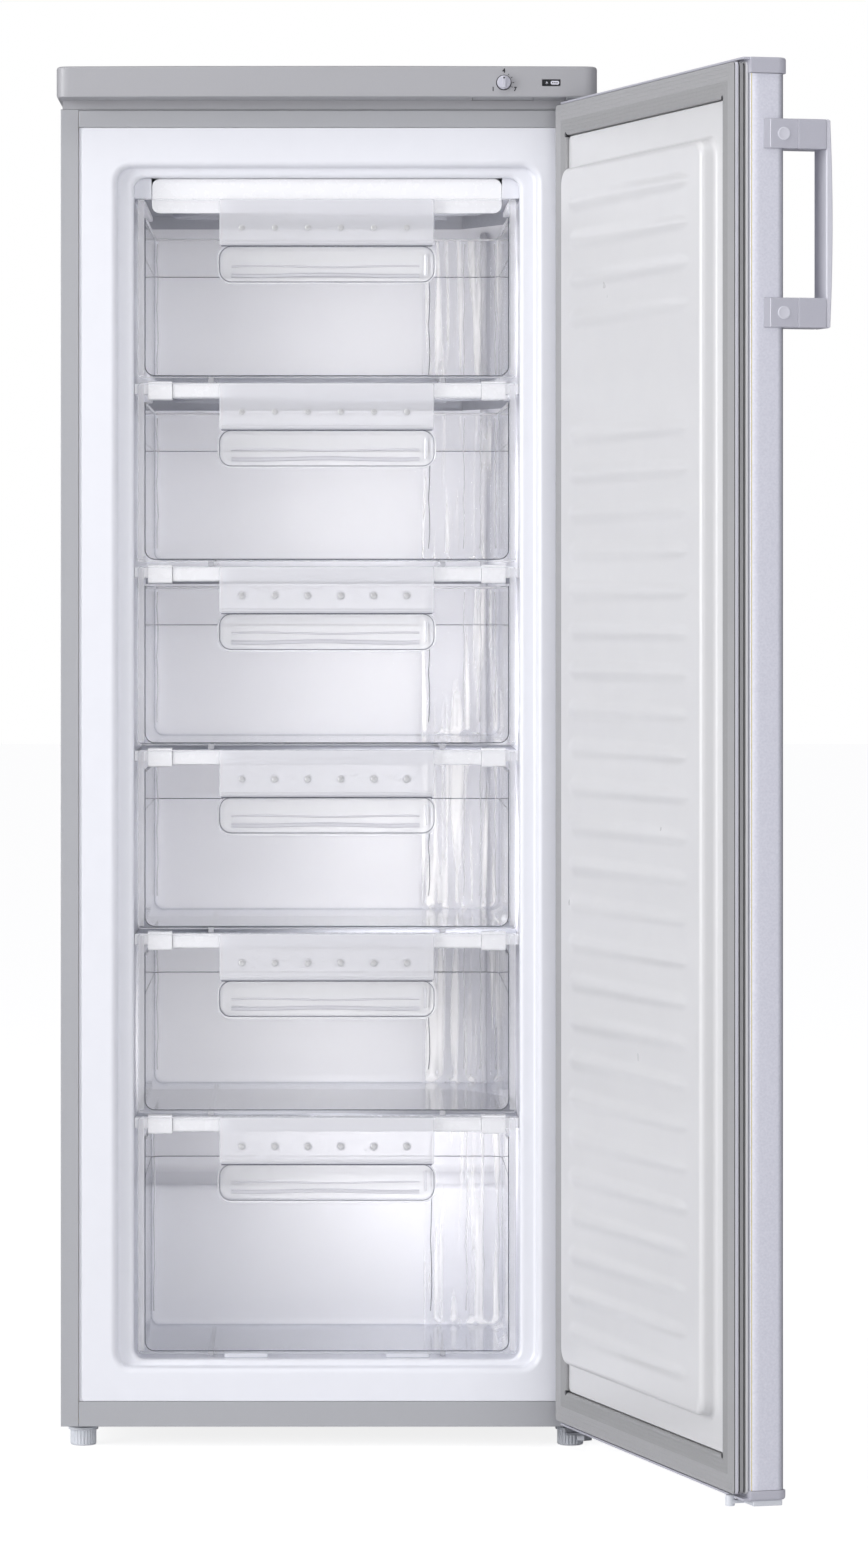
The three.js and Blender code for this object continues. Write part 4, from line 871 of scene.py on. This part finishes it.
# Painted shade: a black ring on the fascia for the shadowed gap round the knob
circles = [
    [(centreX + r * math.cos(math.pi * i / 32), centreZ + r * math.sin(math.pi * i / 32)) for i in range(64)]
    for r in dial["gap"]
]
loft(bm, [onFascia(points, dial["gapShadeLift"]) for points in circles])
for text, (across, up) in dial["numbers"].items():
    curve = bpy.data.curves.new("digit", "FONT")
    curve.body = text
    curve.size = dial["digit"] * dial["fontPerDigit"]
    curve.align_x = "CENTER"
    curve.align_y = "CENTER"
    curve.offset = dial["bold"]
    holder = bpy.data.objects.new("digit", curve)
    bpy.context.scene.collection.objects.link(holder)
    bpy.context.view_layer.update()
    digit = bpy.data.meshes.new_from_object(holder.evaluated_get(bpy.context.evaluated_depsgraph_get()))
    bpy.data.objects.remove(holder)
    bpy.data.curves.remove(curve)
    x, z = centreX + across, centreZ + up
    upturned = Matrix.Rotation(math.radians(90), 4, "X")
    digit.transform(Matrix.Translation((x, bow(x) - dial["ink"], z)) @ upturned)
    bm.from_mesh(digit)
    bpy.data.meshes.remove(digit)
makePiece("dial_marks", bm, blackPlasticAndPaintedShade)

cover = {"x": (150, 212), "y": (-35.5, 20), "z": (1388.1, 1389.1)}  # closes the housing's pocket from below
bm = bmesh.new()
roundBlock(bm, cover["x"], cover["y"], cover["z"], 0.5, 0.2)
makePiece("thermostat_cover", bm, silverAbs)

badge = {
    "x": 229.6, "half": 9.2, "tall": 3.2, "pill": (-0.6, 8.0, 1.9), "dots": (1.6, 3.7, 5.8), "dot": 0.65,
    "mark": (-4.6, 1.5, 0.16),  # place, length and thickness of the mark's arms
    "lifts": (0.15, 0.25, 0.35),  # of its face, its print and its dots
}
bm = bmesh.new()
x, z = badge["x"], dial["centre"][1]
half, tall = badge["half"], badge["tall"]
faceLift, printLift, dotLift = badge["lifts"]
flatPatch(bm, ring(x - half, x + half, z - tall, z + tall, 0.6), faceLift)
left, right, rise = badge["pill"]
flatPatch(bm, ring(x + left, x + right, z - rise, z + rise, 1.5), printLift, finish=1)
dot = badge["dot"]
for offset in badge["dots"]:
    flatPatch(bm, ring(x + offset - dot, x + offset + dot, z - dot, z + dot, 0.64), dotLift)
offset, length, thick = badge["mark"]
for turn in (0, 60, 120):  # a small six-pointed mark
    angle = math.radians(turn + 90)
    along = Vector((math.cos(angle), math.sin(angle))) * length
    side = Vector((-along.y, along.x)).normalized() * thick
    middle = Vector((x + offset, z))
    corners = [middle - along - side, middle + along - side, middle + along + side, middle - along + side]
    flatPatch(bm, [tuple(c) for c in corners], printLift, finish=1)
makePiece("fascia_badge", bm, [blackPlasticAndPaintedShade, gripAbs])
print("dial and badge made")

# Feet

foot = {
    "radius": 13.5, "flange": 15.5, "rise": 16.1, "top": 19.1, "shank": 4, "shankTop": 44, "flutes": 24,
    "half": 252, "frontY": 36, "rearY": 460,
}


# Small grooves up the foot's side, between its rounded bottom and its flange
def flutes(depth, first, last):
    def ripple(index, step):
        if first <= index <= last and step % 4 in (2, 3):
            return 1 - depth
        return 1

    return ripple


for side, word in ((-1, "left"), (1, "right")):
    bm = bmesh.new()
    body, rise = foot["radius"], foot["rise"]
    profile = [(body - 2, 0), (body - 0.6, 0.5), (body, 1.8), (body, 2.2), (body, rise - 0.6)]
    profile += [(body, rise), (foot["flange"] - 0.4, rise), (foot["flange"], rise + 0.4)]
    profile += [(foot["flange"], foot["top"] - 0.4), (foot["flange"] - 0.4, foot["top"])]
    profile += [(foot["shank"], foot["top"]), (foot["shank"], foot["shankTop"])]
    place = (side * foot["half"], foot["frontY"], 0)
    turned(bm, profile, place, (0, 0, 1), foot["flutes"] * 4, ripple=flutes(0.07, 3, 4))
    makePiece(f"front_foot_{word}", bm, greyPolypropylene)
    bm = bmesh.new()
    profile = [(body - 2, 0), (body - 0.6, 0.5), (body, 1.8), (body, 22), (body - 0.6, 22.6)]
    turned(bm, profile, (side * foot["half"], foot["rearY"], 0), (0, 0, 1), 48)
    makePiece(f"rear_foot_{word}", bm, greyPolypropylene)
print("feet made")

# Cooling gear at the back

gear = {
    "can": (-60, 415.5, 74, 150),  # middle in x and y, radius, height
    "seat": 24.5, "plate": (85, 60, 3), "joint": 0.52, "shoulder": 0.72, "dome": 0.28,
    "waist": 3,  # how far the shell lies behind its welded joint
}
bm = bmesh.new()
x, y, radius, height = gear["can"]
bottom = gear["seat"] + gear["plate"][2]
tall = height - gear["plate"][2]
seam = tall * gear["joint"]  # the welded joint of the two drawn halves
shell, shoulder = radius - gear["waist"], tall * gear["shoulder"]
profile = [(radius * 0.55, 0), (radius * 0.86, 4), (radius - 4, 16), (shell, 30)]
profile += [(shell, seam - 2), (radius, seam - 1.5), (radius, seam + 1.5), (shell, seam + 2)]
profile += [(shell, shoulder)]
for step in range(1, 9):
    angle = math.radians(90 * step / 8)
    profile.append((shell * math.cos(angle) + 0.05, shoulder + tall * gear["dome"] * math.sin(angle)))
turned(bm, profile, (x, y, bottom), (0, 0, 1), 64)
halfX, halfY, thick = gear["plate"]
roundBlock(bm, (x - halfX, x + halfX), (y - halfY, y + halfY), (gear["seat"], bottom), 1.4, 1)
makePiece("compressor", bm, blackEnamel)

condenser = {
    "tube": 2.4, "runs": 9, "half": 205, "bottom": 330, "top": 1226, "depth": 508.5, "wires": 41,
    "wire": 0.75, "reach": 28, "foot": (20, 6, 500.6),  # place, half width, depth where it starts
}
bm = bmesh.new()
pitch = (condenser["top"] - condenser["bottom"]) / (condenser["runs"] - 1)
straight = condenser["half"] - pitch / 2
path = [
    (x, condenser["depth"], z)
    for x, z in serpentine(condenser["runs"], pitch, straight, condenser["bottom"])
]
tube(bm, path, condenser["tube"], 12)
for index in range(condenser["wires"]):
    x = straight * (2 * index / (condenser["wires"] - 1) - 1)
    y = condenser["depth"] + condenser["tube"] * (0.95 if index % 2 else -0.95)
    low, high = condenser["bottom"] - condenser["reach"], condenser["top"] + condenser["reach"]
    tube(bm, [(x, y, low), (x, y, high)], condenser["wire"], 6)
inset, half, start = condenser["foot"]
for side in (-1, 1):
    for z in (condenser["bottom"], condenser["top"]):
        x = side * (straight - inset)
        roundBlock(bm, (x - half, x + half), (start, condenser["depth"]), (z - half, z + half), 1.5, 0.8)
makePiece("condenser", bm, blackEnamel)
print("cooling gear made")

# Door

panel = {
    "base": (269, 34, 1380.1), "back": -14.7, "border": (234.4, 67.6, 1346.5, -4),
    "plateau": (213, 100, 1311, 13), "radius": 16,
    "foot": 5,  # rounding at the raised field's foot
    "brow": 6,  # and round its top edge
    "ribs": (30, 136, 1275, 370, 2.4),
    "flat": (1060, 1140),  # a field without ribs
    "columns": 80, "rows": 500, "margin": 8, "rim": 2,
    "ribEnds": (0.10, 0.06),  # shares of its length over which a rib fades in and out
    "ribHalf": (8.5, 4.5),  # half width at the free end, and what it gains towards the hinge
    "ribNarrow": (0.35, 0.65),  # share of that width at the very end, and what it gains
}


# Height of the soft ribs at a point of the panel: fuller near the hinge, thinner at the free end
def ribHeight(x, z):
    count, lowest, highest, length, rise = panel["ribs"]
    pitch = (highest - lowest) / (count - 1)
    nearest = round((z - lowest) / pitch)
    if not 0 <= nearest < count:
        return 0
    middle = lowest + nearest * pitch
    if panel["flat"][0] < middle < panel["flat"][1]:
        return 0
    end = (x + length / 2) / length  # 0 at the free end, 1 at the hinge
    if not 0 < end < 1:
        return 0
    fadeIn, fadeOut = panel["ribEnds"]
    taper = math.sin(math.pi / 2 * min(end / fadeIn, (1 - end) / fadeOut, 1))
    slim, gain = panel["ribHalf"]
    narrow, widening = panel["ribNarrow"]
    half = (slim + gain * end) * (narrow + widening * taper)
    off = (z - middle) / half
    if abs(off) >= 1:
        return 0
    return rise * taper * (0.5 + 0.5 * math.cos(math.pi * off))


bm = bmesh.new()
counts = {"across": panel["columns"], "up": panel["rows"], "corner": 6}
half, low, high = panel["base"]
borderHalf, borderLow, borderHigh, borderY = panel["border"]
fieldHalf, fieldLow, fieldHigh, fieldY = panel["plateau"]
rings = [
    plateRing(half, low, high, 4, panel["back"], **counts),
    plateRing(half, low, high, 4, panel["back"] + panel["rim"], **counts),
    plateRing(borderHalf, borderLow, borderHigh, 6, panel["back"] + panel["rim"], **counts),
    plateRing(borderHalf, borderLow, borderHigh, 6, borderY - 1, **counts),
    plateRing(borderHalf, borderLow, borderHigh, 5, borderY, -1, **counts),
]
for sine, dip in quarter(4):
    grow = panel["foot"] * (1 - sine)
    radius, y = panel["radius"] + grow, borderY + panel["foot"] * dip
    rings.append(plateRing(fieldHalf, fieldLow, fieldHigh, radius, y, grow, **counts))
for sine, dip in quarter(5):
    inset = panel["brow"] * dip
    radius, y = panel["radius"] - inset * 0.7, fieldY - panel["brow"] * (1 - sine)
    rings.append(plateRing(fieldHalf, fieldLow, fieldHigh, radius, y, -inset, **counts))
# The flat field itself is a grid of points that the ribs lift
inset = panel["brow"] + panel["margin"]
left, right, lower, upper = -fieldHalf + inset, fieldHalf - inset, fieldLow + inset, fieldHigh - inset
rings.append(upright(ring(left, right, lower, upper, 0.001, **counts), fieldY))
loft(bm, rings)
columns, rows = panel["columns"], panel["rows"]
grid = []
for row in range(rows + 1):
    z = lower + (upper - lower) * row / rows
    grid.append([
        bm.verts.new((x, fieldY + ribHeight(x, z), z))
        for x in (left + (right - left) * column / columns for column in range(columns + 1))
    ])
for row in range(rows):
    for column in range(columns):
        bm.faces.new(
            (grid[row][column], grid[row][column + 1], grid[row + 1][column + 1], grid[row + 1][column])
        )
bmesh.ops.remove_doubles(bm, verts=bm.verts, dist=0.01)
doorPiece("door_liner", bm, panelStyrene, 50)

seal = {"outer": panel["base"], "width": (34, 33), "gap": (2.6, -4.1, 0.8)}  # radius, depth, place of a gap
# The profile runs from the outer back corner over three folds, whose deep faces are painted black as shade,
# and a pale lip to the soft face. Each point gives the distance inwards, the depth and the finish of the
# strip that ends there.
sealProfile = [
    (1.5, -12.4, 0), (1.5, -11.8, 0), (4.0, -11.7, 3), (4.0, -10.8, 3), (1.0, -10.6, 3), (0.6, -10.2, 0),
    (0.5, -7.2, 0), (0.8, -6.8, 0), (5.0, -6.7, 3), (5.0, -5.6, 3), (0.4, -5.5, 3), (0.1, -5.1, 2),
    (0.0, -3.6, 2), (0.1, -2.5, 2), (0.4, -2.2, 2), (4.0, -2.1, 3), (4.0, -1.4, 3), (0.3, -1.3, 3),
    (0.6, -0.95, 1), (1.4, -0.8, 1),
]
for inset in (4, 8, 12, 16.4, 20.5, 24.5, 28.5):  # fine grooves along the face
    finish = 1 if inset < 17 else 0
    sealProfile += [(inset, -0.8, finish), (inset + 0.6, -1.2, finish), (inset + 1.2, -0.8, finish)]
sealProfile += [(32.0, -1.0, 0), (33.4, -1.9, 0), (34.0, -4.2, 0)]
bm = bmesh.new()
half, low, high = seal["outer"]
sideWidth, endWidth = seal["width"]
last = None
for inset, y, finish in sealProfile:
    tall = inset * endWidth / sideWidth
    points = ring(-half + inset, half - inset, low + tall, high - tall, max(4 - inset * 0.1, 0.8), corner=4)
    if last:
        loft(bm, [last, upright(points, y)], finish=finish)
    last = upright(points, y)
# Painted shadow: small black discs where the mitred corners don't quite meet the panel
radius, shadowDiscDepth, off = seal["gap"]
for sideX in (-1, 1):
    for sideZ, z in ((-1, low + endWidth), (1, high - endWidth)):
        x = sideX * (half - sideWidth)
        place = (x + sideX * off, shadowDiscDepth, z + sideZ * off)
        turned(bm, [(0.05, 0), (radius, 0), (radius, 3.3)], place, (0, 1, 0), 12, finish=3)
doorPiece("door_gasket", bm, [sealVinyl, sealOuterVinyl, sealLipVinyl, blackPlasticAndPaintedShade])

# Door: its steel skin, whose sides curve in a little towards the fold at the back, and the caps on its ends
door = {
    "half": 275, "front": -50, "back": -15, "radius": 8,
    "topCap": (1369.1, 1384.1, 2.7, 0.8, 2.4),  # levels, how proud, rounding of its lower and upper edge
    "bottomCap": (28.2, 37.6, 2.2, 3, 1.4), "lip": (274, -17.5, -8, 2.2), "skin": (37.9, 1368.8),
    # How far the sides curl in, by the distance from the back
    "curl": ((0, 2.6), (1, 1.9), (2, 1.35), (3.5, 0.75), (5, 0.35), (7, 0.08), (9, 0)),
}


# The door's outline seen from above, with its front corners rounded
def doorOutline(grow, backInset):
    half, front, radius = door["half"] + grow, door["front"] - grow, door["radius"] + grow
    points = [(half, door["back"] - backInset), (-half, door["back"] - backInset)]
    for side in (-1, 1):
        for step in range(7):
            angle = math.radians((180 if side < 0 else 270) + 90 * step / 6)
            points.append(
                (side * (half - radius) + radius * math.cos(angle), front + radius + radius * math.sin(angle))
            )
    return points


def doorCap(bm, form, lipLow):
    low, high, proud, lowEdge, highEdge = form
    rings = [
        level(doorOutline(proud - lowEdge * dip, lowEdge * dip), low + lowEdge * (1 - sine))
        for sine, dip in reversed(quarter(4))
    ]
    rings += [
        level(doorOutline(proud - highEdge * dip, 0.4 * highEdge * dip), high - highEdge * (1 - sine))
        for sine, dip in quarter(4)
    ]
    loft(bm, rings, first=True, last=True)
    lipHalf, lipFront, lipBack, thick = door["lip"]
    roundBlock(bm, (-lipHalf, lipHalf), (lipFront, lipBack), (lipLow, lipLow + thick), 0.7, 0.5, corner=3)


corners = doorOutline(0, 0)[2:]
curl = [(door["half"] - reach, door["back"] - depth) for depth, reach in door["curl"]]
outline = curl[::-1] + [(-x, y) for x, y in curl] + corners
bm = bmesh.new()
loft(bm, [level(outline, z) for z in door["skin"]])
doorPiece("door_skin", bm, doorPaint, 60)

bm = bmesh.new()
doorCap(bm, door["topCap"], door["topCap"][1] - door["lip"][3])
doorPiece("door_top_cap", bm, handleAbs)

stop = {
    "plate": ((-274, -239), (-47.4, -18.3), (23, 28.6)), "arm": ((-249.5, -240.5), (-19.3, -5.5), (23, 26)),
    "post": (-245, -5.5, 20.3, 4.5, 10.5),
}
bm = bmesh.new()
doorCap(bm, door["bottomCap"], door["bottomCap"][0])
roundBlock(bm, *stop["plate"], 1, 0.9, finish=1)
roundBlock(bm, *stop["arm"], 0.6, 0.5, finish=1)
x, y, bottom, radius, tall = stop["post"]
profile = [(radius - 0.8, 0), (radius - 0.2, 0.2), (radius, 0.8), (radius, tall - 0.8)]
profile += [(radius - 0.2, tall - 0.2), (radius - 0.8, tall)]
turned(bm, profile, (x, y, bottom), (0, 0, 1), 32, finish=1)
doorPiece("door_bottom_cap", bm, [handleAbs, greyPolypropylene])

# Handle: two brackets round the door's edge, screw caps, and a grip of two legs with a bowed bar
handle = {
    "levels": (1130.1, 1298.4), "tall": 28.3, "outer": -279, "deep": -245, "inner": -275.3, "end": -28,
    "front": -50.3, "out": -61.4, "chamfer": (2.2, 6), "faceInset": 0.8, "edge": 1.5,
    "cap": (6.2, -47.5, 2.1), "leg": (-61.7, -90.6), "legEdge": 2, "bar": (-94.0, -89.9, 2.4), "barStep": 0.8,
    "barEdge": 1.3, "barEnd": 1.2, "legCorner": 1.2, "legChamfer": 0.3,
}


def bracketOutline(inset):
    cutX, cutY = handle["chamfer"]
    outer = handle["outer"] + handle["faceInset"] + inset
    return [
        (handle["inner"], handle["end"] - inset),
        (handle["outer"] + cutX + 0.4 * inset, handle["end"] - inset),
        (outer + 0.5, handle["end"] - cutY + 0.1), (outer, handle["end"] - cutY - 0.3),
        (outer, handle["out"]), (handle["deep"] - inset, handle["out"]),
        (handle["deep"] - inset, handle["front"]), (handle["inner"], handle["front"]),
    ]


for word, bottom in zip(("bottom", "top"), handle["levels"]):
    bm = bmesh.new()
    high, edge = bottom + handle["tall"], handle["edge"]
    rings = [
        level(bracketOutline(edge * dip), bottom + edge * (1 - sine)) for sine, dip in reversed(quarter(4))
    ]
    rings += [level(bracketOutline(edge * dip), high - edge * (1 - sine)) for sine, dip in quarter(4)]
    loft(bm, rings, first=True, last=True)
    doorPiece(f"handle_bracket_{word}", bm, handleAbs)
    bm = bmesh.new()
    radius, y, depth = handle["cap"]
    profile = [(radius, depth), (radius, 0.35), (radius - 0.35, 0.1)]
    profile += [(radius - 1.2, 0), (radius - 1.7, 0.25), (0.1, 0.25)]
    turned(bm, profile, (handle["outer"], y, bottom + handle["tall"] / 2), (1, 0, 0), 40)
    doorPiece(f"handle_screw_cap_{word}", bm, gripAbs)

bm = bmesh.new()
outer, deep = handle["outer"], handle["deep"]
for bottom in handle["levels"]:
    high = bottom + handle["tall"]
    start, end = handle["leg"]
    edge = handle["legEdge"]
    corner, cut = handle["legCorner"], handle["legChamfer"]
    rings = [
        upright(ring(outer + cut, deep - cut, bottom + cut, high - cut, 0.9), start),
        upright(ring(outer, deep, bottom, high, corner), start - cut),
    ]
    for sine, dip in quarter(5):
        inset = edge * dip
        leg = ring(outer + inset, deep - inset, bottom + inset, high - inset, corner + inset * 0.5)
        rings.append(upright(leg, end + edge * (1 - sine)))
    loft(bm, rings, first=True, last=True)
barOuter, barInner, barBow = handle["bar"]
low, high = handle["levels"][0], handle["levels"][1] + handle["tall"]
side = outer + handle["barStep"]
rings = []
steps = 40
for step in range(steps + 1):
    z = low + (high - low) * step / steps
    share = step / steps
    front = barOuter - 4 * barBow * share * (1 - share)
    inset = handle["barEnd"] if step in (0, steps) else 0
    radius = handle["barEdge"] - inset * 0.5
    outline = ring(side + inset, deep - inset, front + inset, barInner - inset, radius)
    rings.append(level(outline, z))
rings[0] = [(x, y, low) for x, y, _ in rings[0]]
rings.insert(1, [(x, y, low + handle["barEnd"]) for x, y, _ in rings[1]])
rings.insert(-1, [(x, y, high - handle["barEnd"]) for x, y, _ in rings[-2]])
# The bar takes the paler plastic, painted light for the shadow the door casts on it
loft(bm, rings, first=True, last=True, finish=1)
doorPiece("handle_grip", bm, [handleAbs, gripAbs])
print("door pieces made")

# Camera, light and floor

scene = bpy.context.scene
camera = bpy.data.objects.new("camera", bpy.data.cameras.new("camera"))
scene.collection.objects.link(camera)
camera.location = (cabinetPlace.translation.x, -6.22861, 0.877)
camera.rotation_euler = (math.radians(90), 0, 0)
camera.data.lens = 140.93
camera.data.sensor_width = 36
camera.data.sensor_fit = "AUTO"
camera.data.shift_x = 0.0691
camera.data.shift_y = -0.1151
camera.data.clip_end = 100
scene.camera = camera

lamps = {
    "key": {"at": (-4.8, -3.0, 1.8), "aim": (0.2, -0.1, 0.75), "size": (3, 3), "power": 198},
    "front": {
        "at": (1.1, -5.6, 1.7), "aim": (0.1, -0.3, 0.75), "size": (2.4, 2.4), "power": 86, "plain": True,
    },
    "top": {"at": (-0.3, -1.2, 3.6), "aim": (0, 0, 0), "size": (2.2, 2.2), "power": 25},
}
# A weak lamp behind each drawer's front, as when a reflector throws light into the compartments
insideLamp = {
    "across": (60, 65, 80, 90, -50, 85), "y": 64, "size": (0.2, 0.08),
    "powers": (0.8, 0.92, 1.0, 1.0, 0.52, 0.6),
}
tops = [liner["cavity"][2]] + shelfTops[1:]
for index, upper in enumerate(tops):
    lower = shelfTops[index + 1] if index < 5 else 330
    at = cabinetPlace @ Vector((insideLamp["across"][index], insideLamp["y"], (upper + lower) / 2 - 25))
    lamps[f"inside_{index + 1}"] = {
        "at": at, "aim": at + Vector((0, 1, 0)), "size": insideLamp["size"],
        "power": insideLamp["powers"][index], "colour": "#fffcf7", "plain": True,
    }
# One more over the compressor's step, in the lowest compartment
lamps["inside_7"] = dict(
    lamps["inside_6"], power=0.24,
    at=cabinetPlace @ Vector((60, 288, 325)), aim=cabinetPlace @ Vector((60, 400, 310)),
)
for name, lamp in lamps.items():
    data = bpy.data.lights.new(name, "AREA")
    data.shape = "RECTANGLE"
    data.size, data.size_y = lamp["size"]
    data.energy = lamp["power"]
    data.color = hexColour(lamp.get("colour", "#ffffff"))[:3]
    obj = bpy.data.objects.new(name, data)
    scene.collection.objects.link(obj)
    obj.location = lamp["at"]
    aim = Vector(lamp["aim"]) - Vector(lamp["at"])
    obj.rotation_euler = aim.to_track_quat("-Z", "Y").to_euler()
    obj.visible_camera = False
    obj.visible_glossy = not lamp.get("plain")  # no hard-edged mirror image in the flat panes

# The backdrop is pure white to the eye and in reflections, and gives only a moderate even light
world = bpy.data.worlds.new("white_room")
scene.world = world
world.use_nodes = True
tree = world.node_tree
tree.nodes.clear()
path = addNode(tree, "ShaderNodeLightPath")
seen = addNode(
    tree, "ShaderNodeMath", {"operation": "MAXIMUM"},
    {0: path.outputs["Is Camera Ray"], 1: path.outputs["Is Transmission Ray"]},
)
ambient = addNode(tree, "ShaderNodeBackground", {"Color": hexColour("#f4f4fa"), "Strength": 0.3})
white = addNode(tree, "ShaderNodeBackground", {"Color": (1, 1, 1, 1), "Strength": 1.0})
mixed = addNode(
    tree, "ShaderNodeMixShader", None, {0: seen.outputs[0], 1: ambient.outputs[0], 2: white.outputs[0]},
)
addNode(tree, "ShaderNodeOutputWorld", None, {"Surface": mixed.outputs[0]})

# The floor is white to the eye and keeps a faint shadow of the freezer
floorMaterial = bpy.data.materials.new("studio_floor")
floorMaterial.use_nodes = True
tree = floorMaterial.node_tree
tree.nodes.clear()
path = addNode(tree, "ShaderNodeLightPath")
lit = addNode(tree, "ShaderNodeBsdfDiffuse", {"Color": hexColour("#e6e6e8")})
glow = addNode(tree, "ShaderNodeEmission", {"Color": (1, 1, 1, 1), "Strength": 0.84})
faint = addNode(tree, "ShaderNodeBsdfDiffuse", {"Color": (0.5, 0.5, 0.5, 1)})
pale = addNode(tree, "ShaderNodeAddShader", None, {0: glow.outputs[0], 1: faint.outputs[0]})
mixed = addNode(
    tree, "ShaderNodeMixShader", None,
    {0: path.outputs["Is Camera Ray"], 1: lit.outputs[0], 2: pale.outputs[0]},
)
addNode(tree, "ShaderNodeOutputMaterial", None, {"Surface": mixed.outputs[0]})
mesh = bpy.data.meshes.new("studio_floor")
reach = 30
mesh.from_pydata(
    [(-reach, -reach, 0), (reach, -reach, 0), (reach, reach, 0), (-reach, reach, 0)], [], [(0, 1, 2, 3)]
)
mesh.materials.append(floorMaterial)
floorPlane = bpy.data.objects.new("studio_floor", mesh)
scene.collection.objects.link(floorPlane)
floorPlane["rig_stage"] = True
scene.view_settings.view_transform = "Standard"
print("camera, light and floor made")

low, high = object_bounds()
